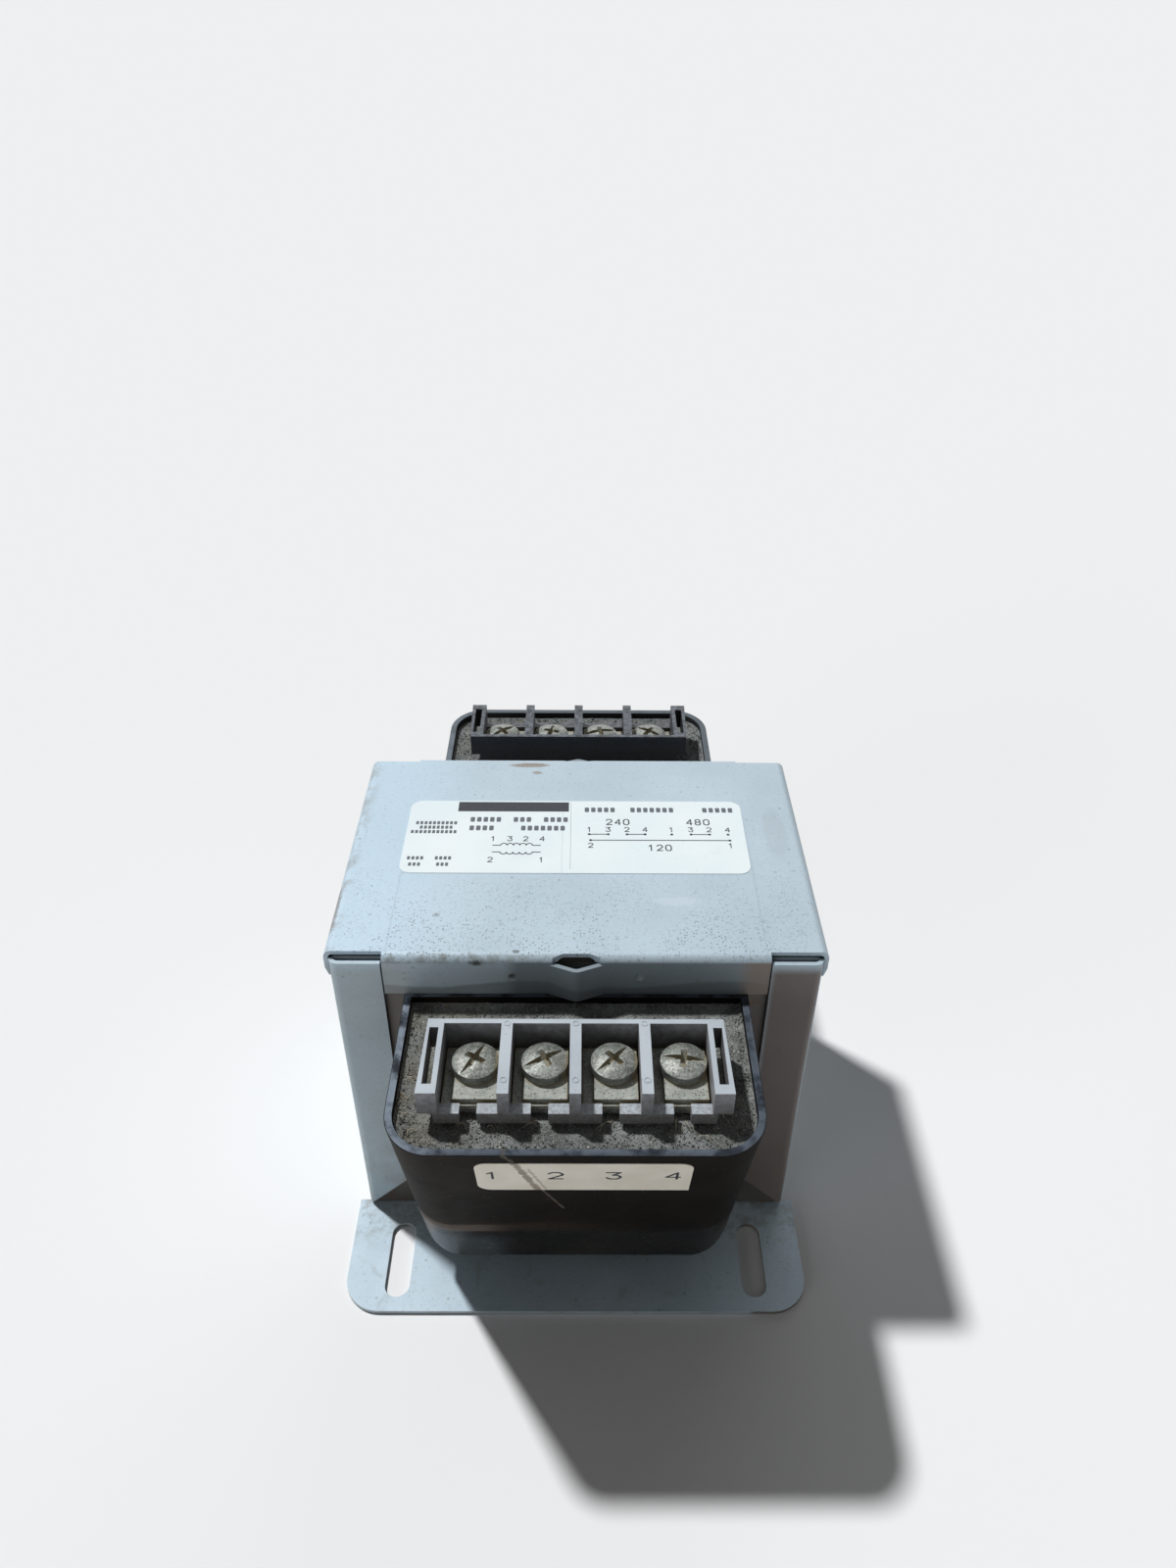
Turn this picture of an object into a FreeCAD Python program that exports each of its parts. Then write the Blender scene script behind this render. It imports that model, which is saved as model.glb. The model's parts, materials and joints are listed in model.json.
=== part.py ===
"""Control transformer: a laminated core and coil in a folded sheet frame, with a potted
winding head and a four-way screw terminal block on each face.

Millimetres. +Z is up, and the origin lies on the mounting plane under the middle of the core.
The secondary side faces -Y. The primary side faces +Y and is the secondary side turned half
a turn about Z, with a shallower block. Lengths called "out" are distances from the XZ plane,
towards a terminal side.
"""
import FreeCAD
import Part
import math
import os

Vector = FreeCAD.Vector

# Core laminations: E and I shapes with a centre leg of 1.25 inch, stacked along Y
LEG_WIDTH = 15.875
WINDOW_HEIGHT = 47.625
STACK_DEPTH = 65.6

# Folded zinc-coated sheet of the base bracket and the top cover
SHEET = 0.9
BEND_RADIUS = 0.9
CORE_SIDE_GAP = 0.125
CORE_FACE_GAP = 0.5

# Base bracket
EAR_REACH = 25.7
EAR_OVERHANG = 2.45
EAR_CORNER_RADIUS = 8.0
SLOT_LENGTH = 18.0
SLOT_WIDTH = 5.5
SLOT_INSET = 8.95
SLOT_REACH = 13.425
FLANGE_WIDTH = 10.25
FLANGE_HEAD_DROP = 0.175
FLANGE_FOOT_HEIGHT = 1.7
RELIEF = 0.6
TOP_FOLD_WIDTH = 11.0

# Top cover
COVER_HEADROOM = 0.625
COVER_SIDE_GAP = 0.15
COVER_FLANGE_GAP = 0.3
SIDE_LIP_HEIGHT = 6.5
SIDE_LIP_BEVEL = 2.0
SIDE_LIP_EDGE = 0.3
FRONT_LIP_HEIGHT = 9.9
BUMP_WIDTH = 11.2
BUMP_HEIGHT = 2.2
BUMP_TIP_RADIUS = 1.4
BUMP_SLIT_WIDTH = 9.4
BUMP_SLIT_REAR_WIDTH = 5.2
BUMP_SLIT_DEPTH = 1.3
BUMP_SLIT_CLIP = 0.8
DIMPLE_RADIUS = 0.95
DIMPLE_DEPTH = 0.45
DIMPLE_SPACING = 25.0
DIMPLE_DROP = 5.2

# Coil: bobbin, two windings, barrier and outer wrap
COIL_GAP = 0.4
COIL_LEG_GAP = 2.175
BOBBIN_WALL = 1.2
BOBBIN_CORNER = 1.2
BOBBIN_FLANGE = 1.5
BARRIER = 0.5
WRAP = 0.4
PRIMARY_SURPLUS = 0.6
LEAD_RADIUS = 0.6
LEAD_BEND = 0.75
LEAD_LIFT = 0.3
LEAD_HOLE_GAP = 0.2
LEAD_BLOCK_GAP = 0.2

# Moulded shells round the winding heads
SHELL_BEYOND_WINDOW = 2.5
SHELL_SIDE_DRAFT = 0.6
SHELL_WALL = 1.5
SHELL_BACK_WALL = 2.0
SHELL_CORE_GAP = 0.3
SHELL_RIM_DROP = 0.1
SHELL_DROP_BELOW_WINDOW = 8.3
SHELL_RIM_BEYOND_BLOCK = 7.4
SHELL_FOOT_BEYOND_COIL = 3.325
SHELL_ROUND = 9.0
SHELL_FOOT_ROUND = 2.5
COMPOUND_DEPTH_BELOW_RIM = 4.5
COMPOUND_GAP = 0.05

# Settings of the shape operations: the slack in picking edges, and mitred corners in a sweep
EDGE_TOLERANCE = 0.01
MITRED = 1

# Terminal blocks, on a pitch of half an inch
TERMINALS = 4
PARTITION = 2.1
SECONDARY_BLOCK_DEPTH = 17.2
PRIMARY_BLOCK_DEPTH = 15.1
BLOCK_TOP_ABOVE_RIM = 7.4
BLOCK_WALL = 1.1
END_BLOCK_WIDTH = 3.6
END_BLOCK_HEIGHT = 5.5
END_TAPER = 0.5
END_SLOT_WIDTH = 1.65
END_SLOT_MARGIN = 2.1
SIDE_WALL = 0.9
LEDGE_DEPTH = 2.3
LEDGE_HEIGHT = 2.7
LEDGE_NOTCH = 3.1
PLINTH_SETBACK = 4.6
BORE_FLOOR = 1.0

# Terminals: fixed plate with a tail, captive clamp plate and binding head screw
TERMINAL_THICKNESS = 1.2
TERMINAL_SIDE_GAP = 0.2
TERMINAL_END_GAP = 0.2
TAIL_WIDTH = 4.0
TAIL_BELOW_LEAD = 0.5
TAIL_COIL_GAP = 0.425
TAIL_GAP = 0.1
CLAMP_THICKNESS = 1.1
CLAMP_WIDTH = 8.0
CLAMP_SIDE_GAP = 0.3
CLAMP_FRONT_GAP = 0.8
CLAMP_BACK_GAP = 1.7
CLAMP_HOLE_GAP = 0.2
CLAMP_RISE_ABOVE_LEDGE = 0.1
SCREW_FROM_BACK = 6.9
SCREW_OFFSET = 0.7
SCREW_RADIUS = 2.08
SCREW_POINT = 0.6
THREAD_GAP = 0.05
SCREW_BORE_GAP = 0.3
HEAD_RADIUS = 4.3
HEAD_GAP = 0.3
HEAD_HEIGHT = 2.9
HEAD_RIM_HEIGHT = 1.9
DRIVER_SLOT_WIDTH = 1.1
DRIVER_SLOT_DEPTH = 0.9
CROSS_LENGTH = 4.6
CROSS_FLOOR_LENGTH = 1.4
CROSS_DEPTH = 1.8
SECONDARY_SLOT_ANGLES = (60.0, 28.0, 45.0, -8.0)
PRIMARY_SLOT_ANGLES = (-35.0, 12.0, 74.0, 40.0)

# Core and sheet levels and places
bend_outside = BEND_RADIUS + SHEET
core_width = 6 * LEG_WIDTH
core_height = WINDOW_HEIGHT + 2 * LEG_WIDTH
core_face = STACK_DEPTH / 2
core_bottom = SHEET
core_top = core_bottom + core_height
window_half = core_width / 2 - LEG_WIDTH
window_bottom = core_bottom + LEG_WIDTH
window_top = window_bottom + WINDOW_HEIGHT
frame_side = core_width / 2 + CORE_SIDE_GAP + SHEET
frame_face = core_face + CORE_FACE_GAP + SHEET
frame_top = core_top + SHEET
bend_start = frame_face - bend_outside
ear_half = frame_side + EAR_OVERHANG
ear_front = frame_face + EAR_REACH
flange_edge = frame_side - FLANGE_WIDTH
cover_top = frame_top + COVER_HEADROOM + SHEET
cover_side = frame_side + COVER_SIDE_GAP + SHEET
lip_bottom = cover_top - FRONT_LIP_HEIGHT

# Coil builds, which fill the window as far as the gap beside the outer legs
bobbin_bottom = window_bottom + COIL_GAP
bobbin_top = window_top - COIL_GAP
coil_half_x = LEG_WIDTH + COIL_GAP
coil_half_y = core_face + COIL_GAP
flange_reach = window_half - COIL_GAP - coil_half_x
winding_build = LEG_WIDTH - COIL_GAP - COIL_LEG_GAP - BOBBIN_WALL - BARRIER - WRAP
primary_build = (winding_build + PRIMARY_SURPLUS) / 2
secondary_build = (winding_build - PRIMARY_SURPLUS) / 2
lead_level = bobbin_top + LEAD_LIFT + LEAD_RADIUS

# Block, shell and terminal levels and places
head_reach = SCREW_OFFSET + HEAD_RADIUS + HEAD_GAP
compartment = 2 * head_reach
terminal_pitch = compartment + PARTITION
terminal_places = [(i - (TERMINALS - 1) / 2) * terminal_pitch for i in range(TERMINALS)]
well_half = (TERMINALS * terminal_pitch - PARTITION) / 2
coil_out = coil_half_y + flange_reach
tail_front = coil_out + TAIL_COIL_GAP
block_back = tail_front - TERMINAL_END_GAP - BLOCK_WALL
screw_out = block_back + SCREW_FROM_BACK
rim_level = lip_bottom - SHELL_RIM_DROP
foot_level = window_bottom - SHELL_DROP_BELOW_WINDOW
shell_back = core_face + SHELL_CORE_GAP
shell_half = window_half + SHELL_BEYOND_WINDOW
rim_out = block_back + SECONDARY_BLOCK_DEPTH + SHELL_RIM_BEYOND_BLOCK
foot_out = coil_out + SHELL_FOOT_BEYOND_COIL
compound_level = rim_level - COMPOUND_DEPTH_BELOW_RIM
block_top = rim_level + BLOCK_TOP_ABOVE_RIM
ledge_top = block_top - END_BLOCK_HEIGHT
ledge_bottom = ledge_top - LEDGE_HEIGHT
clamp_top = ledge_top + CLAMP_RISE_ABOVE_LEDGE
terminal_top = clamp_top - CLAMP_THICKNESS
block_floor = terminal_top - TERMINAL_THICKNESS
tail_bottom = lead_level - LEAD_RADIUS - TAIL_BELOW_LEAD
plinth_bottom = lead_level + LEAD_RADIUS + LEAD_BLOCK_GAP
bore_bottom = plinth_bottom + BORE_FLOOR
screw_length = clamp_top - bore_bottom - SCREW_BORE_GAP


# Shapes used all over

def box(x_low, x_high, y_low, y_high, z_low, z_high):
    """Block between two corners."""
    size = (x_high - x_low, y_high - y_low, z_high - z_low)
    return Part.makeBox(*size, Vector(x_low, y_low, z_low))


def out_box(x_low, x_high, out_low, out_high, z_low, z_high):
    """Block on the secondary side, given by its distances out from the XZ plane."""
    return box(x_low, x_high, -out_high, -out_low, z_low, z_high)


def in_plan(z):
    """Place a flat outline in the level plane at z."""
    return lambda u, v: Vector(u, v, z)


def across_x(y):
    """Place an outline in a plane that faces along Y."""
    return lambda u, v: Vector(u, y, v)


def across_y(x):
    """Place an outline in a plane that faces along X, with its first number pointing out."""
    return lambda u, v: Vector(x, -u, v)


def outline(corners, place):
    """Closed wire through (u, v, radius) corners, each rounded by its radius."""
    starts = []
    ends = []
    middles = []
    for i, (u, v, radius) in enumerate(corners):
        before = corners[i - 1]
        after = corners[(i + 1) % len(corners)]
        back = Vector(before[0] - u, before[1] - v, 0).normalize()
        ahead = Vector(after[0] - u, after[1] - v, 0).normalize()
        half_angle = back.getAngle(ahead) / 2
        corner = Vector(u, v, 0)
        reach = radius / math.tan(half_angle)
        starts.append(corner + back * reach)
        ends.append(corner + ahead * reach)
        inward = (back + ahead).normalize() if radius else Vector()
        middles.append(corner + inward * (radius / math.sin(half_angle) - radius))
    edges = []
    for i, (u, v, radius) in enumerate(corners):
        if radius:
            arc = [place(p.x, p.y) for p in (starts[i], middles[i], ends[i])]
            edges.append(Part.Arc(*arc).toShape())
        leave = ends[i]
        arrive = starts[(i + 1) % len(corners)]
        if (arrive - leave).Length > 1e-6:
            line = Part.LineSegment(place(leave.x, leave.y), place(arrive.x, arrive.y))
            edges.append(line.toShape())
    return Part.Wire(edges)


def extruded(corners, place, along):
    """Solid of a rounded outline pushed along a vector."""
    return Part.Face(outline(corners, place)).extrude(along)


def rectangle(half_x, y_low, y_high, radius):
    """Corners of a rectangle that is centred on X."""
    return [(-half_x, y_low, radius), (half_x, y_low, radius),
            (half_x, y_high, radius), (-half_x, y_high, radius)]


def cylinder(radius, x, y, z_low, z_high):
    """Upright cylinder."""
    return Part.makeCylinder(radius, z_high - z_low, Vector(x, y, z_low))


def about_z(shape, degrees, x=0.0, y=0.0):
    """Copy turned about an upright axis."""
    turned = shape.copy()
    turned.rotate(Vector(x, y, 0), Vector(0, 0, 1), degrees)
    return turned


def on_both_sides(shape):
    """A secondary-side shape with its half-turned copy on the primary side."""
    return [shape, about_z(shape, 180)]


def joined(shapes):
    """One clean solid out of shapes that meet."""
    return shapes[0].fuse(shapes[1:]).removeSplitter()


# Core

def e_stack():
    """E laminations: yoke below, three legs up, with clipped lower corners."""
    side = core_width / 2
    clip = BEND_RADIUS
    profile = [(-side + clip, core_bottom, 0), (side - clip, core_bottom, 0),
               (side, core_bottom + clip, 0), (side, window_top, 0)]
    for right, left in ((window_half, LEG_WIDTH), (-LEG_WIDTH, -window_half)):
        profile += [(right, window_top, 0), (right, window_bottom, 0),
                    (left, window_bottom, 0), (left, window_top, 0)]
    profile += [(-side, window_top, 0), (-side, core_bottom + clip, 0)]
    return extruded(profile, across_x(-core_face), Vector(0, STACK_DEPTH, 0))


def i_stack():
    """I laminations that close the magnetic path on top of the legs."""
    side = core_width / 2
    clip = BEND_RADIUS
    profile = [(-side, window_top, 0), (side, window_top, 0), (side, core_top - clip, 0),
               (side - clip, core_top, 0), (-side + clip, core_top, 0), (-side, core_top - clip, 0)]
    return extruded(profile, across_x(-core_face), Vector(0, STACK_DEPTH, 0))


# Base bracket

def bracket_channel():
    """Floor, uprights and the folds over the core, as one bent section along Y."""
    side = frame_side
    fold = frame_side - TOP_FOLD_WIDTH
    outside = [(-fold, frame_top, 0), (-side, frame_top, bend_outside), (-side, 0, bend_outside),
               (side, 0, bend_outside), (side, frame_top, bend_outside), (fold, frame_top, 0)]
    side = frame_side - SHEET
    ceiling = frame_top - SHEET
    inside = [(fold, ceiling, 0), (side, ceiling, BEND_RADIUS), (side, SHEET, BEND_RADIUS),
              (-side, SHEET, BEND_RADIUS), (-side, ceiling, BEND_RADIUS), (-fold, ceiling, 0)]
    return extruded(outside + inside, across_x(-bend_start), Vector(0, 2 * bend_start, 0))


def bend_reliefs():
    """Notches that part the floor bends from the ears."""
    low = frame_side - bend_outside
    notches = []
    for start, end in ((low, ear_half), (-ear_half, -low)):
        notch = out_box(start, end, bend_start - RELIEF, bend_start, 0, bend_outside + RELIEF)
        notches += on_both_sides(notch)
    return notches


def ear_plate():
    """Flat foot in front of the core, with rounded corners and two slots."""
    corners = [(-ear_half, -ear_front, EAR_CORNER_RADIUS), (ear_half, -ear_front, EAR_CORNER_RADIUS),
               (ear_half, -bend_start, 0), (-ear_half, -bend_start, 0)]
    plate = extruded(corners, in_plan(0), Vector(0, 0, SHEET))
    slot = rectangle(SLOT_WIDTH / 2, -SLOT_LENGTH / 2, SLOT_LENGTH / 2, SLOT_WIDTH / 2)
    cutter = extruded(slot, in_plan(0), Vector(0, 0, SHEET))
    slot_x = frame_side - SLOT_INSET
    slot_out = frame_face + SLOT_REACH
    for x in (-slot_x, slot_x):
        plate = plate.cut(cutter.translated(Vector(x, -slot_out, 0)))
    return plate


def face_flange():
    """Flange folded from an upright onto the core face, with its foot cut at 45 degrees."""
    side = frame_side
    foot = FLANGE_FOOT_HEIGHT
    section = [(side, -bend_start, 0), (side, -frame_face, bend_outside), (flange_edge, -frame_face, 0),
               (flange_edge, SHEET - frame_face, 0), (side - SHEET, SHEET - frame_face, BEND_RADIUS),
               (side - SHEET, -bend_start, 0)]
    height = frame_top - FLANGE_HEAD_DROP - foot
    flange = extruded(section, in_plan(foot), Vector(0, 0, height))
    wedge = [(side, foot, 0), (flange_edge, foot + FLANGE_WIDTH, 0), (flange_edge, foot, 0)]
    return flange.cut(extruded(wedge, across_x(-frame_face), Vector(0, bend_outside, 0)))


def base_bracket():
    channel = bracket_channel().cut(bend_reliefs())
    right = face_flange()
    left = right.mirror(Vector(), Vector(1, 0, 0))
    pieces = [channel]
    for piece in (ear_plate(), right, left):
        pieces += on_both_sides(piece)
    return joined(pieces)


# Top cover

def cover_channel():
    """Roof and side lips, whose lower edges taper onto the uprights."""
    low = cover_top - SIDE_LIP_HEIGHT
    side = cover_side
    inner = cover_side - SHEET
    right = [(side, cover_top, bend_outside), (side, low + SIDE_LIP_BEVEL, 0),
             (inner + SIDE_LIP_EDGE, low, 0), (inner, low, 0), (inner, cover_top - SHEET, BEND_RADIUS)]
    left = [(-u, v, radius) for u, v, radius in reversed(right)]
    return extruded(right + left, across_x(-bend_start), Vector(0, 2 * bend_start, 0))


def bump_slit():
    """Opening in the cover's bend above the bump, with clipped rear corners."""
    half = BUMP_SLIT_WIDTH / 2
    rear_half = BUMP_SLIT_REAR_WIDTH / 2
    rear = frame_face - BUMP_SLIT_DEPTH
    corners = [(-half, -frame_face, 0), (half, -frame_face, 0), (half, -rear - BUMP_SLIT_CLIP, 0),
               (rear_half, -rear, 0), (-rear_half, -rear, 0), (-half, -rear - BUMP_SLIT_CLIP, 0)]
    return extruded(corners, in_plan(cover_top - bend_outside), Vector(0, 0, bend_outside))


def front_lip():
    """Lip folded down over the core face, between the flanges."""
    half = flange_edge - COVER_FLANGE_GAP
    section = [(bend_start, cover_top, 0), (frame_face, cover_top, bend_outside),
               (frame_face, lip_bottom, 0), (frame_face - SHEET, lip_bottom, 0),
               (frame_face - SHEET, cover_top - SHEET, BEND_RADIUS), (bend_start, cover_top - SHEET, 0)]
    lip = extruded(section, across_y(-half), Vector(2 * half, 0, 0))
    half = BUMP_WIDTH / 2
    gap = out_box(-half, half, bend_start, frame_face, lip_bottom, cover_top - bend_outside)
    return lip.cut([gap, bump_slit(), *dimples()])


def dimples():
    """Stake marks pressed into the lip on each side of the bump."""
    ball = (DIMPLE_RADIUS ** 2 + DIMPLE_DEPTH ** 2) / (2 * DIMPLE_DEPTH)
    out = frame_face + ball - DIMPLE_DEPTH
    level = cover_top - DIMPLE_DROP
    places = (-DIMPLE_SPACING / 2, DIMPLE_SPACING / 2)
    return [Part.makeSphere(ball, Vector(x, -out, level)) for x in places]


def lip_bump():
    """Vee pressed out of the middle of the lip, open at the top."""
    half = BUMP_WIDTH / 2
    tip = frame_face + BUMP_HEIGHT
    inner_face = frame_face - SHEET
    slope = math.atan2(BUMP_HEIGHT, half)
    inner_tip = tip - SHEET / math.cos(slope)
    inner_half = (inner_tip - inner_face) / math.tan(slope)
    section = [(-half, -frame_face, 0), (0, -tip, BUMP_TIP_RADIUS + SHEET), (half, -frame_face, 0),
               (half, -inner_face, 0), (inner_half, -inner_face, 0),
               (0, -inner_tip, BUMP_TIP_RADIUS), (-inner_half, -inner_face, 0), (-half, -inner_face, 0)]
    return extruded(section, in_plan(lip_bottom), Vector(0, 0, FRONT_LIP_HEIGHT - bend_outside))


def top_cover():
    lip = joined([front_lip(), lip_bump()])
    return joined([cover_channel(), *on_both_sides(lip)])


# Coil

def ring(inner_x, inner_y, build, corner, z_low, z_high):
    """Upright rectangular tube with rounded corners, round the centre leg."""
    height = Vector(0, 0, z_high - z_low)
    outer = rectangle(inner_x + build, -inner_y - build, inner_y + build, corner + build)
    inner = rectangle(inner_x, -inner_y, inner_y, corner)
    place = in_plan(z_low)
    return extruded(outer, place, height).cut(extruded(inner, place, height))


def coil_layers():
    """Inner half sizes, builds and corner radii from the bobbin tube outwards."""
    names = ["bobbin", "primary", "barrier", "secondary", "wrap"]
    builds = [BOBBIN_WALL, primary_build, BARRIER, secondary_build, WRAP]
    layers = {}
    offset = 0.0
    for name, build in zip(names, builds):
        layers[name] = (coil_half_x + offset, coil_half_y + offset, build, BOBBIN_CORNER + offset)
        offset += build
    return layers


def coil_layer(name):
    """One wound or wrapped layer between the bobbin flanges."""
    z_low = bobbin_bottom + BOBBIN_FLANGE
    z_high = bobbin_top - BOBBIN_FLANGE
    return ring(*coil_layers()[name], z_low, z_high)


def winding_middle(name):
    """Distance out of the middle of a winding's build."""
    half_x, half_y, build, corner = coil_layers()[name]
    return half_y + build / 2


def lead_places(winding):
    """Places across X of a winding's leads, under the terminals that they serve."""
    if winding == "primary":
        return terminal_places
    return [terminal_places[0], terminal_places[-1]]


def coil_bobbin():
    tube = ring(*coil_layers()["bobbin"], bobbin_bottom, bobbin_top)
    flange = (coil_half_x, coil_half_y, flange_reach, BOBBIN_CORNER)
    low = ring(*flange, bobbin_bottom, bobbin_bottom + BOBBIN_FLANGE)
    high = ring(*flange, bobbin_top - BOBBIN_FLANGE, bobbin_top)
    holes = []
    for winding, turn in (("secondary", 0), ("primary", 180)):
        for x in lead_places(winding):
            hole = cylinder(LEAD_RADIUS + LEAD_HOLE_GAP, x, -winding_middle(winding),
                            bobbin_top - BOBBIN_FLANGE, bobbin_top)
            holes.append(about_z(hole, turn))
    return joined([tube, low, high]).cut(holes)


def winding_lead(winding, x):
    """Lead that rises through the bobbin flange, turns in two steps and runs out to a terminal's tail."""
    out = winding_middle(winding)
    bottom = bobbin_top - BOBBIN_FLANGE
    route = [Vector(x, -out, bottom), Vector(x, -out, lead_level - LEAD_BEND),
             Vector(x, -out - LEAD_BEND, lead_level), Vector(x, -tail_front, lead_level)]
    path = Part.Wire([Part.LineSegment(start, end).toShape() for start, end in zip(route, route[1:])])
    wire_end = Part.Wire(Part.makeCircle(LEAD_RADIUS, route[0]))
    return path.makePipeShell([wire_end], True, False, MITRED)


# Moulded shells and potting compound

def shell_form(inset, back_inset, top):
    """Cup-shaped body that narrows downwards, inset from the shell's outside."""
    fall = (rim_out - foot_out) / (rim_level - foot_level)
    draft = SHELL_SIDE_DRAFT / (rim_level - foot_level)
    bottom = foot_level + inset
    back = shell_back + back_inset
    halves = []
    outs = []
    for z in (bottom, top):
        halves.append(shell_half - draft * (rim_level - z) - inset * math.hypot(1, draft))
        outs.append(rim_out - fall * (rim_level - z) - inset * math.hypot(1, fall))
    side_view = [(back, bottom, 0), (outs[0], bottom, 0), (outs[1], top, 0), (back, top, 0)]
    face_view = [(-halves[0], bottom, 0), (halves[0], bottom, 0), (halves[1], top, 0), (-halves[1], top, 0)]
    wedge = extruded(side_view, across_y(-halves[1]), Vector(2 * halves[1], 0, 0))
    body = wedge.common(extruded(face_view, across_x(-outs[1]), Vector(0, outs[1], 0))).Solids[0]
    round_edges = []
    for edge in body.Edges:
        middle = edge.CenterOfMass
        in_front = middle.y < -back - EDGE_TOLERANCE
        below_top = middle.z < top - EDGE_TOLERANCE
        if in_front and below_top and abs(middle.x) > EDGE_TOLERANCE:
            round_edges.append(edge)
    return body.makeFillet(SHELL_ROUND - inset, round_edges)


def shell():
    """Open-topped cup with a window in its back for the winding head."""
    outside = shell_form(0, 0, rim_level)
    foot_edges = []
    for edge in outside.Edges:
        middle = edge.CenterOfMass
        on_foot = abs(middle.z - foot_level) < EDGE_TOLERANCE
        in_front = middle.y < -shell_back - EDGE_TOLERANCE
        if on_foot and in_front and abs(middle.x) < EDGE_TOLERANCE:
            foot_edges.append(edge)
    outside = outside.makeFillet(SHELL_FOOT_ROUND, foot_edges)
    inside = shell_form(SHELL_WALL, SHELL_BACK_WALL, rim_level + SHELL_WALL)
    window = out_box(-window_half, window_half, core_face, shell_back + SHELL_BACK_WALL,
                     window_bottom, window_top)
    return outside.cut([inside, window])


def compound(sunk_pieces):
    """Potting that fills the cup round everything sunk in it."""
    inset = SHELL_WALL + COMPOUND_GAP
    body = shell_form(inset, SHELL_BACK_WALL + COMPOUND_GAP, compound_level)
    return body.cut(sunk_pieces)


# Terminal blocks

def block_plinth(depth):
    """Lower part of the terminal block, which stands in the potting."""
    half = well_half + SIDE_WALL
    front = block_back + depth - PLINTH_SETBACK
    return out_box(-half, half, block_back, front, plinth_bottom, ledge_bottom)


def terminal_block(depth):
    """Moulding with four open compartments, clip slots at its ends and a sunk plinth."""
    slab_half = well_half + SIDE_WALL
    outer_half = well_half + END_BLOCK_WIDTH
    front = block_back + depth
    slab = out_box(-slab_half, slab_half, block_back, front, ledge_bottom, ledge_top)
    rear_half = outer_half - END_TAPER
    crown_plan = [(-outer_half, -front, 0), (outer_half, -front, 0),
                  (rear_half, -block_back, 0), (-rear_half, -block_back, 0)]
    crown = extruded(crown_plan, in_plan(ledge_top), Vector(0, 0, END_BLOCK_HEIGHT))
    body = joined([slab, block_plinth(depth), crown])
    well_back = block_back + BLOCK_WALL
    well_front = front - LEDGE_DEPTH
    half = compartment / 2
    cuts = []
    for x in terminal_places:
        cuts.append(out_box(x - half, x + half, well_back, well_front, block_floor, block_top))
        cuts.append(out_box(x - half, x + half, well_front, front, ledge_top, block_top))
        notch = LEDGE_NOTCH / 2
        cuts.append(out_box(x - notch, x + notch, well_front, front, ledge_bottom, ledge_top))
        bore = cylinder(SCREW_RADIUS + SCREW_BORE_GAP, x + SCREW_OFFSET, -screw_out, bore_bottom, block_floor)
        cuts.append(bore)
        cuts.append(terminal_tail(x, TAIL_GAP))
    half = END_SLOT_WIDTH / 2
    for x in (well_half + END_BLOCK_WIDTH / 2, -well_half - END_BLOCK_WIDTH / 2):
        cuts.append(out_box(x - half, x + half, block_back + END_SLOT_MARGIN, front - END_SLOT_MARGIN,
                            ledge_top, block_top))
    return body.cut(cuts)


# Terminals

def terminal_tail(x, gap):
    """Tab folded down from the terminal's back edge, grown all round by a gap."""
    half = TAIL_WIDTH / 2 + gap
    front = tail_front + TERMINAL_THICKNESS
    return out_box(x - half, x + half, tail_front - gap, front + gap, tail_bottom - gap, block_floor)


def terminal_plate(x, depth):
    """Fixed plate with a tapped hole."""
    half = compartment / 2 - TERMINAL_SIDE_GAP
    front = block_back + depth - LEDGE_DEPTH - TERMINAL_END_GAP
    plate = out_box(x - half, x + half, tail_front, front, block_floor, terminal_top)
    hole = cylinder(SCREW_RADIUS + THREAD_GAP, x + SCREW_OFFSET, -screw_out, block_floor, terminal_top)
    return joined([plate, terminal_tail(x, 0)]).cut(hole)


def clamp_plate(x, depth):
    """Loose plate under the screw head, which grips the wire and rises with the screw."""
    right = x + compartment / 2 - CLAMP_SIDE_GAP
    back = block_back + BLOCK_WALL + CLAMP_BACK_GAP
    front = block_back + depth - LEDGE_DEPTH - CLAMP_FRONT_GAP
    plate = out_box(right - CLAMP_WIDTH, right, back, front, terminal_top, clamp_top)
    hole = cylinder(SCREW_RADIUS + CLAMP_HOLE_GAP, x + SCREW_OFFSET, -screw_out, terminal_top, clamp_top)
    return plate.cut(hole)


def screw_body():
    """Shank, point and domed head, turned about Z, with the head's underside at zero."""
    dome = HEAD_HEIGHT - HEAD_RIM_HEIGHT
    rim = Vector(HEAD_RADIUS, 0, HEAD_RIM_HEIGHT)
    crown = Vector(0, 0, HEAD_HEIGHT)
    ball = (HEAD_RADIUS ** 2 + dome ** 2) / (2 * dome)
    half_way = math.asin(HEAD_RADIUS / ball) / 2
    shoulder = Vector(ball * math.sin(half_way), 0, HEAD_HEIGHT - ball + ball * math.cos(half_way))
    points = [crown, Vector(0, 0, -screw_length), Vector(SCREW_RADIUS - SCREW_POINT, 0, -screw_length),
              Vector(SCREW_RADIUS, 0, SCREW_POINT - screw_length), Vector(SCREW_RADIUS, 0, 0),
              Vector(HEAD_RADIUS, 0, 0), rim]
    edges = [Part.LineSegment(start, end).toShape() for start, end in zip(points, points[1:])]
    edges.append(Part.Arc(rim, shoulder, crown).toShape())
    return Part.Face(Part.Wire(edges)).revolve(Vector(), Vector(0, 0, 1), 360)


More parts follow.
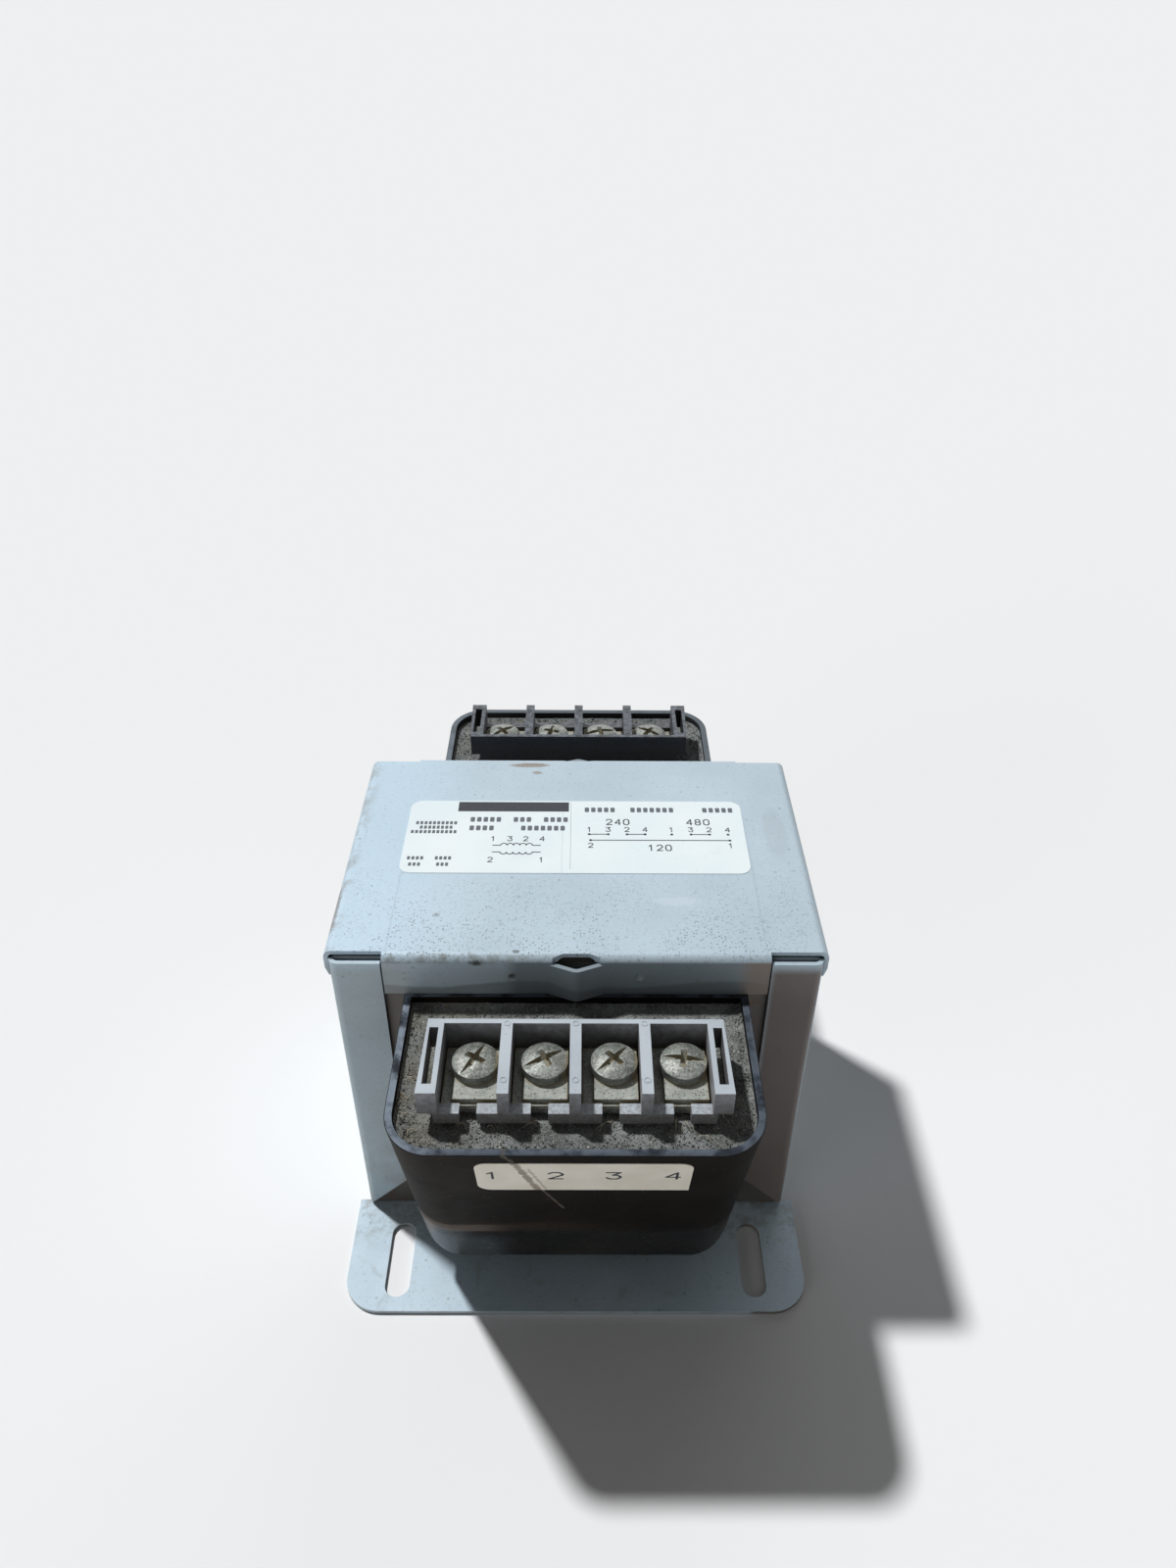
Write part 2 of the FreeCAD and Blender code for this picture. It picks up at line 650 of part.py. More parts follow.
def terminal_screw(x, angle):
    """Binding head screw with a slot and a cross recess."""
    half = DRIVER_SLOT_WIDTH / 2
    slot = box(-HEAD_RADIUS, HEAD_RADIUS, -half, half, HEAD_HEIGHT - DRIVER_SLOT_DEPTH, HEAD_HEIGHT)
    top = CROSS_LENGTH / 2
    floor = CROSS_FLOOR_LENGTH / 2
    level = HEAD_HEIGHT - CROSS_DEPTH
    arm = [(-top, HEAD_HEIGHT, 0), (top, HEAD_HEIGHT, 0), (floor, level, 0), (-floor, level, 0)]
    cross = extruded(arm, across_x(-half), Vector(0, 2 * half, 0))
    screw = screw_body().cut([slot, cross, about_z(cross, 90)])
    return about_z(screw, angle).translated(Vector(x + SCREW_OFFSET, -screw_out, clamp_top))


# The whole transformer, as one shape for each named piece

def side_pieces(side, turn, depth, angles, coil):
    """Shell, potting, block, leads, plates and screws of one terminal side."""
    leads = [winding_lead(side, x) for x in lead_places(side)]
    plates = [terminal_plate(x, depth) for x in terminal_places]
    sunk_coil = [about_z(piece, -turn) for piece in coil]
    pieces = {
        f"{side}_shell": shell(),
        f"{side}_compound": compound([*sunk_coil, *leads, *plates, block_plinth(depth)]),
        f"{side}_terminal_block": terminal_block(depth),
    }
    for number, lead in enumerate(leads, 1):
        pieces[f"{side}_lead_{number}"] = lead
    for number, (x, angle) in enumerate(zip(terminal_places, angles), 1):
        pieces[f"{side}_terminal_{number}"] = plates[number - 1]
        pieces[f"{side}_clamp_plate_{number}"] = clamp_plate(x, depth)
        pieces[f"{side}_screw_{number}"] = terminal_screw(x, angle)
    return {name: about_z(piece, turn) for name, piece in pieces.items()}


def transformer():
    coil = {
        "coil_bobbin": coil_bobbin(),
        "primary_winding": coil_layer("primary"),
        "winding_barrier": coil_layer("barrier"),
        "secondary_winding": coil_layer("secondary"),
        "coil_wrap": coil_layer("wrap"),
    }
    pieces = {
        "base_bracket": base_bracket(),
        "top_cover": top_cover(),
        "core_e_stack": e_stack(),
        "core_i_stack": i_stack(),
    }
    pieces.update(coil)
    sides = (("secondary", 0, SECONDARY_BLOCK_DEPTH, SECONDARY_SLOT_ANGLES),
             ("primary", 180, PRIMARY_BLOCK_DEPTH, PRIMARY_SLOT_ANGLES))
    for side, turn, depth, angles in sides:
        pieces.update(side_pieces(side, turn, depth, angles, coil.values()))
    return pieces


os.makedirs("parts", exist_ok=True)
for node, shape in transformer().items():
    shape.exportStep(f"parts/{node}.step")
    print(f"{node}: solids {len(shape.Solids)}, valid {shape.isValid()}, volume {shape.Volume:.1f}")
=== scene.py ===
import bmesh
import bpy
import json
import math
import random
from mathutils import Matrix, Vector, noise


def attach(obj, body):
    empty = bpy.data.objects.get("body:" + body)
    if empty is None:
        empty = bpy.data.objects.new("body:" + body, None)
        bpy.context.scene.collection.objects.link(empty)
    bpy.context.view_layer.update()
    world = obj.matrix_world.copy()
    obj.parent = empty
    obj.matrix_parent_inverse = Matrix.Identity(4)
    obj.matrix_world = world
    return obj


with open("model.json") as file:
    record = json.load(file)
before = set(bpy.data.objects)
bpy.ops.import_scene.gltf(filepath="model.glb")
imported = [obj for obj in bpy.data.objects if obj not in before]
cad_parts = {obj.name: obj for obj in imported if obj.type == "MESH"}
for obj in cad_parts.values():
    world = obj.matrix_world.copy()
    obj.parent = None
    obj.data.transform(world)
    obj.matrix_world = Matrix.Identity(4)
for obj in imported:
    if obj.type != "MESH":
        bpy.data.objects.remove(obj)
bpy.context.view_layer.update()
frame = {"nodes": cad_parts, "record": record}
nodes = frame["nodes"]
MM = 0.001

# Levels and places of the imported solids, in millimetres
COVER_TOP = 82.7
SHEET = 0.9
FRAME_FACE = 34.2
LIP_BOTTOM = 72.8
LIP_HALF = 38.1
SHELL_INNER_BACK = 35.1
SHELL_HALF = 34.25
SHELL_WALL = 1.5
SHELL_ROUND = 9.0
SHELL_DRAFT = 0.6
RIM_LEVEL = 72.7
FOOT_LEVEL = 8.475
RIM_OUT = 72.0
FOOT_OUT = 51.6
COMPOUND_LEVEL = 68.2
BLOCK_BACK = 47.4
BLOCK_TOP = 80.1
BLOCK_DEPTHS = {"secondary": 17.2, "primary": 15.1}
LEDGE_TOP = 74.6
PLINTH_SETBACK = 4.6
PLINTH_HALF = 25.25
# How far the front face of a cup runs inward for each millimetre down
FACE_FALL = (RIM_OUT - FOOT_OUT) / (RIM_LEVEL - FOOT_LEVEL)


def srgb(red, green, blue):
    """Linear colour of an sRGB one written from 0 to 255."""
    linear = []
    for value in (red, green, blue):
        c = value / 255
        linear.append(c / 12.92 if c <= 0.04045 else ((c + 0.055) / 1.055) ** 2.4)
    return (*linear, 1.0)


def set_up(thing, **values):
    """The thing itself, once its attributes have these values."""
    for key, value in values.items():
        setattr(thing, key, value)
    return thing


def new_object(name, data):
    made = bpy.data.objects.new(name, data)
    bpy.context.scene.collection.objects.link(made)
    return made


# Materials

# Full part of a speck's radius, scale of a stroke's raggedness and soft length of a stroke's ends
SPECK_CORE = 0.6
STROKE_GRAIN = 1.1
STROKE_END = 1.0


class Paint:
    """One material and the nodes that it is written with. Places are in millimetres.

    A mask is a value from 0 to 1 over the surface. Colours are sRGB, from 0 to 255.
    """

    def __init__(self, name, metallic=0.0, specular=0.5, ior=1.5):
        self.material = bpy.data.materials.new(name)
        self.material.use_nodes = True
        self.tree = self.material.node_tree
        self.shader = self.tree.nodes["Principled BSDF"]
        for key, value in (("Metallic", metallic), ("Specular IOR Level", specular), ("IOR", ior)):
            self.shader.inputs[key].default_value = value
        self.tone = None
        coordinates = self.node("ShaderNodeTexCoord")
        self.place = self.vector("SCALE", {0: coordinates.outputs["Object"], "Scale": 1 / MM})
        split = self.node("ShaderNodeSeparateXYZ", {0: self.place})
        self.x, self.y, self.z = split.outputs
        facing = self.node("ShaderNodeSeparateXYZ", {0: coordinates.outputs["Normal"]})
        self.facing_x, self.facing_y, self.facing_z = facing.outputs

    def node(self, kind, inputs=None, **settings):
        made = set_up(self.tree.nodes.new(kind), **settings)
        for key, value in (inputs or {}).items():
            self.feed(value, made.inputs[key])
        return made

    def feed(self, value, socket):
        if isinstance(value, bpy.types.NodeSocket):
            self.tree.links.new(value, socket)
        else:
            socket.default_value = value

    def math(self, operation, a, b=0.0):
        return self.node("ShaderNodeMath", {0: a, 1: b}, operation=operation).outputs[0]

    def vector(self, operation, inputs):
        return self.node("ShaderNodeVectorMath", inputs, operation=operation).outputs[0]

    def add(self, first, *others):
        for other in others:
            first = self.math("ADD", first, other)
        return first

    def times(self, first, *others):
        for other in others:
            first = self.math("MULTIPLY", first, other)
        return first

    def most(self, a, b):
        return self.math("MAXIMUM", a, b)

    def off(self, value, middle=0.0):
        """How far a value is from a middle, either way."""
        return self.math("ABSOLUTE", self.add(value, -middle) if middle else value)

    def rise(self, value, low, high):
        """0 below low and 1 above high, and the other way round where low is the larger."""
        inputs = {"Value": value, "From Min": low, "From Max": high}
        made = self.node("ShaderNodeMapRange", inputs, interpolation_type="SMOOTHSTEP")
        return made.outputs["Result"]

    def between(self, value, low, high, soft):
        return self.times(self.rise(value, low - soft, low), self.rise(value, high + soft, high))

    def noise(self, scale, detail=3.0, roughness=0.55, warp=0.0, vector=None):
        inputs = {"Vector": vector or self.place, "Scale": scale, "Detail": detail,
                  "Roughness": roughness, "Distortion": warp}
        return self.node("ShaderNodeTexNoise", inputs).outputs["Fac"]

    def patches(self, scale, low, high, detail=3.0, roughness=0.55, warp=0.0):
        """Cloudy mask, 0 where the noise is below low and 1 where it is above high."""
        return self.rise(self.noise(scale, detail, roughness, warp), low, high)

    def stretched(self, x, y, z):
        """Place scaled along each axis, for streaks."""
        return self.vector("MULTIPLY", {0: self.place, 1: (x, y, z)})

    def cells(self, scale):
        """Distance to the nearest cell's point, and a random number for each cell."""
        made = self.node("ShaderNodeTexVoronoi", {"Vector": self.place, "Scale": scale})
        colour = self.node("ShaderNodeSeparateColor", {0: made.outputs["Color"]})
        return made.outputs["Distance"], colour.outputs[0]

    def specks(self, scale, size, share):
        """Small round spots in a share of the cells."""
        distance, chance = self.cells(scale)
        there = self.math("LESS_THAN", chance, share)
        return self.times(self.rise(distance, size, size * SPECK_CORE), there)

    def blob(self, centre, size, ragged=0.35, soft=0.4, grain=0.9):
        """Ragged spot round a centre, with a half size along each axis."""
        moved = self.vector("SUBTRACT", {0: self.place, 1: centre})
        scaled = self.vector("MULTIPLY", {0: moved, 1: tuple(1 / s for s in size)})
        away = self.node("ShaderNodeVectorMath", {0: scaled}, operation="LENGTH").outputs["Value"]
        wobble = self.times(self.add(self.noise(grain), -0.5), 2 * ragged)
        return self.rise(self.add(away, wobble), 1.0, 1.0 - soft)

    def stroke(self, start, end, half_width, soft=0.5, ragged=0.6):
        """Ragged stroke between two (x, z) points on a face."""
        run = (end[0] - start[0], end[1] - start[1])
        length = math.hypot(*run)
        ux, uz = run[0] / length, run[1] / length
        dx = self.add(self.x, -start[0])
        dz = self.add(self.z, -start[1])
        along = self.add(self.times(dx, ux), self.times(dz, uz))
        aside = self.off(self.add(self.times(dx, -uz), self.times(dz, ux)))
        wobble = self.times(self.add(self.noise(STROKE_GRAIN), -0.5), 2 * ragged * half_width)
        across = self.rise(self.add(aside, wobble), half_width, half_width * (1 - soft))
        return self.times(across, self.between(along, 0, length, STROKE_END))

    def mix(self, factor, a, b):
        made = self.node("ShaderNodeMix", data_type="RGBA")
        for socket, value in zip((made.inputs[0], made.inputs[6], made.inputs[7]), (factor, a, b)):
            self.feed(value, socket)
        return made.outputs[2]

    def blend(self, factor, a, b):
        made = self.node("ShaderNodeMix", data_type="FLOAT")
        for socket, value in zip((made.inputs[0], made.inputs[2], made.inputs[3]), (factor, a, b)):
            self.feed(value, socket)
        return made.outputs[0]

    def start(self, mask, low, high):
        """The first tone, which goes from one colour to the other with a mask."""
        self.tone = self.mix(mask, srgb(*low), srgb(*high))

    def lay(self, colour, *masks):
        """Lays a colour over the tone, by the product of masks and strengths."""
        self.tone = self.mix(self.times(*masks), self.tone, srgb(*colour))

    def corners(self, reach, low, high, samples=4):
        """Mask of deep corners, from how much of the open light within a reach is missing."""
        shade = self.node("ShaderNodeAmbientOcclusion", {"Distance": reach * MM}, samples=samples)
        return self.rise(self.math("SUBTRACT", 1.0, shade.outputs["AO"]), low, high)

    def finish(self, roughness, height=None, depth=0.05):
        """The tone, a roughness and a bump of so many millimetres onto the shader."""
        self.feed(self.tone, self.shader.inputs["Base Color"])
        self.feed(roughness, self.shader.inputs["Roughness"])
        if height is not None:
            bump = self.node("ShaderNodeBump", {"Height": height, "Distance": depth * MM})
            self.feed(bump.outputs[0], self.shader.inputs["Normal"])
        return self.material


# Stains on the sheet, one of them a painted shade in the dent on the lip: centre, half size along each axis,
# strength and colour
STAINS = (
    ((-11.5, 31.0, COVER_TOP), (5.6, 1.1, 1.5), 0.75, (126, 106, 84)),
    ((-9.8, 27.9, COVER_TOP), (1.4, 0.8, 1.5), 0.6, (126, 108, 88)),
    ((-19.6, -35.1, 81.3), (2.8, 1.5, 1.1), 0.9, (56, 58, 50)),
    ((-11.9, -32.4, COVER_TOP), (0.9, 0.6, 1.0), 0.7, (70, 72, 68)),
    ((-8.4, -34.4, 82.2), (2.0, 0.6, 0.8), 0.55, (92, 84, 70)),
    ((-49.3, -20.0, 81.2), (1.1, 8.0, 2.6), 0.6, (112, 96, 80)),
    # Dark spot in the dent on the lip: painted shade
    ((-12.5, -34.2, 77.5), (1.1, 1.2, 1.1), 0.8, (52, 52, 46)),
    ((-28.5, -22.0, COVER_TOP), (0.8, 0.7, 1.0), 0.4, (96, 98, 94)),
    ((44.0, 5.0, COVER_TOP), (3.0, 11.0, 1.0), 0.14, (130, 128, 122)),
    ((20.5, -17.7, COVER_TOP), (6.0, 1.6, 1.0), 0.16, (220, 226, 230)),
)
WAVE_LEVEL = 75.4
WAVE_HEIGHT = 0.9
WAVE_TURN = 0.16


def zinc_sheet():
    """Zinc-coated sheet with streaks, dirt specks and stains, browner and duller on its upright faces, with
    painted shade on the uprights, lips, right flange, base corner and crevices and a painted reflection on
    the lips.
    """
    p = Paint("zinc_sheet", metallic=0.15, specular=0.3)
    streaks = p.noise(1.0, 3, vector=p.stretched(0.05, 1.6, 1.6))
    p.start(p.patches(0.035, 0.3, 0.7, 4), (172, 189, 200), (182, 199, 210))
    p.lay((160, 176, 188), p.rise(streaks, 0.5, 0.8), 0.18)
    # Top of the cover: lighter to the left, with more specks towards the front
    on_top = p.rise(p.z, COVER_TOP - 1.5, COVER_TOP - 0.2)
    p.lay((186, 208, 224), p.rise(p.x, -20, -42), on_top, 0.6)
    near_front = p.times(p.rise(p.y, 2, -30), on_top)
    p.lay((150, 162, 170), p.patches(1.1, 0.42, 0.72, 6, 0.72), 0.22)
    p.lay((104, 112, 114), p.specks(1.3, 0.28, 0.24), 0.36)
    dense = p.times(p.specks(1.6, 0.36, 0.5), near_front, p.patches(0.09, 0.36, 0.58))
    p.lay((88, 92, 90), dense, 0.62)
    p.lay((84, 88, 86), p.specks(2.6, 0.38, 0.4), near_front, p.patches(0.13, 0.4, 0.62), 0.5)
    seam = p.rise(p.off(p.off(p.x), LIP_HALF - 0.7), 0.34, 0.1)
    p.lay((120, 132, 142), seam, on_top, p.rise(p.y, 16, -8), 0.16)
    p.lay((105, 106, 98), p.specks(0.5, 0.22, 0.12), 0.35)
    near_left = p.rise(p.add(p.x, p.times(p.noise(0.3, 3), 2.5)), -44.5, -48.5)
    p.lay((122, 112, 98), near_left, on_top, p.patches(0.22, 0.42, 0.62, 4, 0.6), 0.55)
    # Dirt along the cover's front bend, denser to the left
    bend = p.times(p.between(p.y, -FRAME_FACE - 0.4, -FRAME_FACE + 1.0, 0.6),
                   p.rise(p.z, COVER_TOP - 1.9, COVER_TOP - 1.1))
    p.lay((104, 100, 84), bend, p.rise(p.x, 4, -26), p.patches(0.55, 0.42, 0.62, 4, 0.65), 0.5)
    p.lay((120, 114, 102), bend, p.patches(1.6, 0.52, 0.66, 4, 0.7), 0.3)
    for centre, size, strength, colour in STAINS:
        p.lay(colour, p.blob(centre, size), strength)
    # Lips on the core faces: a darker wave low down that is a painted reflection of the dark parts below, a
    # darker part from the middle rightwards that is painted shade, and a browner right end
    on_lip = p.times(p.between(p.z, LIP_BOTTOM - 0.8, COVER_TOP - 1.5, 0.4),
                     p.rise(p.off(p.y), FRAME_FACE - 0.6, FRAME_FACE - 0.2),
                     p.rise(p.off(p.x), LIP_HALF + 0.2, LIP_HALF + 0.05))
    wave = p.add(WAVE_LEVEL, p.times(p.math("SINE", p.times(p.x, WAVE_TURN)), -WAVE_HEIGHT))
    low = p.rise(p.add(p.z, p.times(p.noise(0.3), 0.8)), p.add(wave, 1.0), wave)
    p.lay((84, 90, 94), on_lip, low, 0.55)
    p.lay((88, 95, 100), on_lip, p.rise(p.x, -15, -11), 0.62)
    ends = p.rise(p.add(p.off(p.x), p.times(p.noise(0.5), 3.0)), LIP_HALF - 5.6, LIP_HALF - 1.6)
    p.lay((138, 116, 98), on_lip, ends, p.blend(p.rise(p.x, -10, 10), 0.2, 0.65))
    # Core faces and uprights are painted duller and darker as shade, greener to the left and browner low
    # down; the right flange is painted darker still as shade
    upright = p.times(p.rise(p.off(p.facing_z), 0.6, 0.4), p.rise(p.z, COVER_TOP - 1.7, COVER_TOP - 4.7))
    p.lay((128, 132, 128), upright, p.add(0.10, p.times(p.patches(0.05, 0.35, 0.65, 4), 0.16)))
    p.lay((138, 144, 136), upright, p.rise(p.x, -34, -40), 0.2)
    # The right flange beside the shell gets a darker, browner tone that is painted shade
    right_flange_shade = p.times(p.rise(p.x, 37.5, 39.5), p.rise(p.y, -FRAME_FACE + 1.2, -FRAME_FACE + 0.2))
    p.lay((102, 86, 76), upright, right_flange_shade, 0.85)
    p.lay((122, 106, 90), upright, p.rise(p.z, 40, 4), p.patches(0.12, 0.4, 0.68, 5, 0.65), 0.38)
    # Base: grime and painted shade in the corner under the shell where the flanges stand, scuffs, and dirt in
    # every crevice, where it is also painted shade
    on_base = p.rise(p.z, SHEET + 0.7, SHEET + 0.1)
    p.lay((112, 104, 92), on_base, p.rise(p.off(p.y), 48, 36), p.patches(0.35, 0.42, 0.64, 5, 0.7), 0.45)
    p.lay((132, 134, 130), on_base, p.patches(0.16, 0.54, 0.72, 5, 0.62, 0.6), 0.35)
    # Darker where open light is blocked: dirt and painted shade in the crevices
    p.lay((74, 68, 60), p.corners(1.6, 0.35, 0.8), 0.45)
    rough = p.add(0.46, p.times(p.noise(0.18, 4), 0.16), p.times(dense, near_front, 0.25))
    height = p.add(p.times(p.noise(2.2, 4), 0.5), p.times(streaks, 0.5))
    return p.finish(rough, height, 0.012)


TIDE_LEVEL = 33.0


def black_plastic():
    """Satin black moulding with brown dust, a worn rim with a painted sheen and highlight, painted
    reflections low on the front, a painted highlight on one corner and a dusty rear.
    """
    p = Paint("black_plastic", specular=0.14, ior=1.2)
    p.start(p.patches(0.06, 0.35, 0.7), (20, 18, 17), (27, 25, 23))
    # Brown dust, thicker in the left corner and low down, and a brown band at one level that is partly dust
    # and partly a painted reflection
    p.lay((92, 76, 60), p.rise(p.x, -8, -34), p.patches(0.10, 0.32, 0.6, 4, 0.6), 0.07)
    p.lay((98, 84, 70), p.rise(p.z, TIDE_LEVEL + 1, 10), p.patches(0.09, 0.36, 0.62, 4, 0.6), 0.08)
    dust_and_reflection_band = p.between(p.add(p.z, p.times(p.noise(0.08, 3), 4.0)), TIDE_LEVEL - 0.5, TIDE_LEVEL + 0.5, 4.0)
    p.lay((112, 94, 78), dust_and_reflection_band, p.rise(p.x, 20, -16), 0.1)
    # Paler band of dust, and low on the left of the front a grey haze that is partly dust and partly a
    # painted reflection of the lit base
    front_left = p.times(p.rise(p.y, -40, -46), p.rise(p.add(p.x, p.times(p.noise(0.2, 3), 4.0)), -10, -18))
    p.lay((128, 116, 108), front_left, p.between(p.z, TIDE_LEVEL - 4.5, TIDE_LEVEL - 1.5, 1.4), 0.3)
    haze = p.times(p.rise(p.z, 28, 20), p.add(0.6, p.times(p.noise(0.15, 4), 0.6)))
    p.lay((100, 112, 118), front_left, haze, 0.34)
    # Grey film on what faces up, thicker on the rear side and thin on the rim
    dusty = p.blend(p.rise(p.y, -2, 2), 0.15, 0.5)
    film = p.times(p.rise(p.facing_z, 0.35, 0.9), p.add(dusty, p.times(p.patches(0.5, 0.35, 0.65, 4), 0.35)),
                   p.blend(p.rise(p.z, RIM_LEVEL - 0.7, RIM_LEVEL - 0.5), 1.0, 0.3))
    p.lay((96, 100, 100), film)
    # Bluish painted sheen on the rim's top and a pale line along its inner side that is partly wear and
    # partly a painted highlight, stronger to the left, while its outer side stays dark
    outward = p.add(p.times(p.facing_x, p.math("SIGN", p.x)), p.times(p.facing_y, p.math("SIGN", p.y)))
    inward = p.times(outward, -1.0)
    near_top = p.rise(p.z, RIM_LEVEL - 0.3, RIM_LEVEL - 0.05)
    p.lay((58, 70, 88), near_top, p.rise(inward, -0.25, 0.1), 0.36)
    edge = p.times(near_top, p.between(inward, 0.04, 0.4, 0.1), p.patches(0.22, 0.34, 0.58, 4, 0.6))
    p.lay((166, 180, 196), edge, p.blend(p.rise(p.x, -22, -31), 0.28, 0.75))
    # Rear cup: even dust, thicker towards the top and on the rim
    on_rear = p.rise(p.y, FRAME_FACE - 0.2, FRAME_FACE + 1.8)
    dust = p.add(0.7, p.times(p.noise(0.4, 5, 0.65), 0.4))
    p.lay((98, 104, 108), on_rear, dust, p.rise(p.z, TIDE_LEVEL + 1, 72), 0.22)
    p.lay((112, 120, 126), on_rear, near_top, 0.6)
    # Fluff, a scratch below the strip and one above it, a painted highlight on the lower left front corner,
    # and dirt in the crevices
    p.lay((120, 112, 100), p.specks(1.1, 0.16, 0.10), 0.5)
    below_strip = p.stroke((-6.9, 56.6), (-2.4, 44.0), 0.34, 0.8, 1.0)
    p.lay((112, 104, 96), below_strip, p.rise(p.y, -44, -46), 0.5)
    above_strip = p.stroke((-12.4, 72.4), (-10.4, 68.6), 0.6, 0.7, 1.0)
    p.lay((104, 98, 90), above_strip, p.rise(p.y, -60, -62), 0.5)
    # Bluish painted highlight on the rounded lower left front corner
    p.lay((110, 120, 130), p.blob((-31.5, -51.5, 12.0), (5.0, 5.0, 3.2), 0.25, 0.8, 0.4), 0.3)
    p.lay((78, 72, 62), p.corners(1.4, 0.4, 0.85), 0.45)
    rough = p.add(p.blend(p.rise(p.z, TIDE_LEVEL - 1, TIDE_LEVEL - 6), 0.52, 0.2),
                  p.times(p.noise(0.3, 4), 0.12), p.times(film, 0.35))
    height = p.add(p.times(p.noise(1.3, 3), 0.6), p.times(p.noise(6.0, 2), 0.4))
    return p.finish(rough, height, 0.02)


def potting_compound():
    """Sand-filled potting: pale and dark grains, flecks, straw-coloured bits and a grey smear in front."""
    p = Paint("potting_compound", specular=0.25)
    p.start(p.patches(0.16, 0.34, 0.66, 5, 0.65), (104, 106, 103), (146, 150, 148))
    p.lay((128, 120, 104), p.rise(p.x, -6, -30), p.patches(0.2, 0.3, 0.6, 4), 0.35)
    distance, chance = p.cells(2.9)
    grain = p.rise(distance, 0.5, 0.22)
    p.lay((198, 200, 192), grain, p.math("GREATER_THAN", chance, 0.7), 0.9)
    p.lay((64, 62, 56), grain, p.math("LESS_THAN", chance, 0.28), 0.8)
    p.lay((214, 208, 188), p.specks(0.9, 0.2, 0.16), 0.85)
    p.lay((134, 142, 146), p.rise(p.y, 10, 30), 0.35)
    p.lay((152, 130, 98), p.specks(0.5, 0.2, 0.16), p.rise(p.x, 0, -22), 0.8)
    p.lay((122, 130, 136), p.rise(p.y, -64.5, -67.5), p.patches(0.25, 0.42, 0.6, 4), 0.25)
    # Darker in the corners where open light is blocked: dirt and painted shade
    p.lay((60, 56, 50), p.corners(1.8, 0.35, 0.9), 0.35)
    height = p.add(p.times(p.noise(2.8, 5, 0.7), 0.6), p.times(p.rise(distance, 0.5, 0.1), 0.4))
    return p.finish(0.92, height, 0.5)


def moulding(name, light, dark, dirt, film_colour, film_strength, side_grime_and_shade, side_colour):
    """Terminal block plastic with dust on its faces and dirt in its corners, which on the grey block also
    stands as painted shade, as does the darker side colour of its upright faces.
    """
    p = Paint(name, specular=0.4)
    p.start(p.patches(0.08, 0.35, 0.68), dark, light)
    p.lay(film_colour, p.rise(p.facing_z, 0.4, 0.9), p.patches(0.7, 0.35, 0.68, 5, 0.65), film_strength)
    p.lay(dirt, p.specks(1.7, 0.26, 0.2), p.patches(0.3, 0.42, 0.6), 0.6)
    # Ledges below the wells, the faces of the partitions, and the edges of their tops; on the grey block the
    # side colour of upright faces is a painted shade
    on_ledge = p.rise(p.z, LEDGE_TOP + 0.3, LEDGE_TOP - 0.1)
    p.lay(dirt, on_ledge, p.patches(1.3, 0.36, 0.62, 6, 0.75), 0.62)
    p.lay((128, 124, 112), on_ledge, p.specks(2.3, 0.32, 0.3), 0.6)
    # Side colour on upright faces: a darker painted shade on the grey block
    upright = p.rise(p.off(p.facing_z), 0.5, 0.3)
    p.lay(side_colour, upright, p.add(side_grime_and_shade, p.times(p.patches(0.8, 0.3, 0.7, 5, 0.7), 0.3)))
    p.lay(dirt, upright, p.rise(p.z, BLOCK_TOP - 0.6, BLOCK_TOP - 4.0), 0.3)
    p.lay(film_colour, p.rise(p.z, BLOCK_TOP - 0.9, BLOCK_TOP), p.patches(1.5, 0.55, 0.7, 4), 0.3)
    # Dirt in the corners, which on the grey block is darker and so also painted shade
    p.lay(dirt, p.corners(2.6, 0.3, 0.8), 0.6)
    height = p.add(p.times(p.noise(1.0, 3), 0.6), p.times(p.noise(5.0, 2), 0.4))
    return p.finish(p.add(0.42, p.times(p.noise(0.4, 4), 0.2)), height, 0.02)


def plated(name, light, dark, metallic, rough):
    """Dull zinc plating with white bloom, dark pits and dirt in the recesses."""
    p = Paint(name, metallic=metallic)
    p.start(p.patches(0.5, 0.34, 0.66, 5, 0.65), dark, light)
    p.lay((186, 188, 180), p.patches(1.9, 0.46, 0.62, 6, 0.75), p.rise(p.facing_z, 0.2, 0.8), 0.5)
    pits = p.specks(2.0, 0.4, 0.42)
    p.lay((62, 60, 54), pits, 0.7)
    p.lay((84, 76, 62), p.specks(1.1, 0.26, 0.22), 0.6)
    dirt = p.corners(1.7, 0.26, 0.58, 6)
    p.lay((148, 136, 108), dirt, 0.9)
    height = p.add(p.times(p.noise(2.4, 5, 0.7), 0.7), p.times(pits, -0.5))
    return p.finish(p.add(rough, p.times(p.noise(0.8, 4), 0.22), p.times(dirt, 0.4)), height, 0.05)


LAMINATION = 0.5
WIRE = 0.8


def core_steel():
    """Varnished laminations, seen edge on as lines across the stack."""
    p = Paint("core_steel", metallic=0.5)
    count = p.times(p.y, 1 / LAMINATION)
    across = p.math("FRACT", count)
    gap = p.most(p.rise(across, 0.12, 0.0), p.rise(across, 0.88, 1.0))
    number = p.math("FLOOR", count)
    shade = p.node("ShaderNodeTexWhiteNoise", {"W": number}, noise_dimensions="1D").outputs["Value"]
    edge_on = p.rise(p.off(p.facing_y), 0.8, 0.4)
    p.start(shade, (86, 82, 78), (110, 106, 100))
    p.lay((30, 27, 25), gap, edge_on, 0.8)
    p.lay((96, 66, 44), p.patches(0.2, 0.5, 0.7, 4, 0.6), 0.6)
    return p.finish(0.45, p.times(gap, edge_on, -1.0), 0.08)


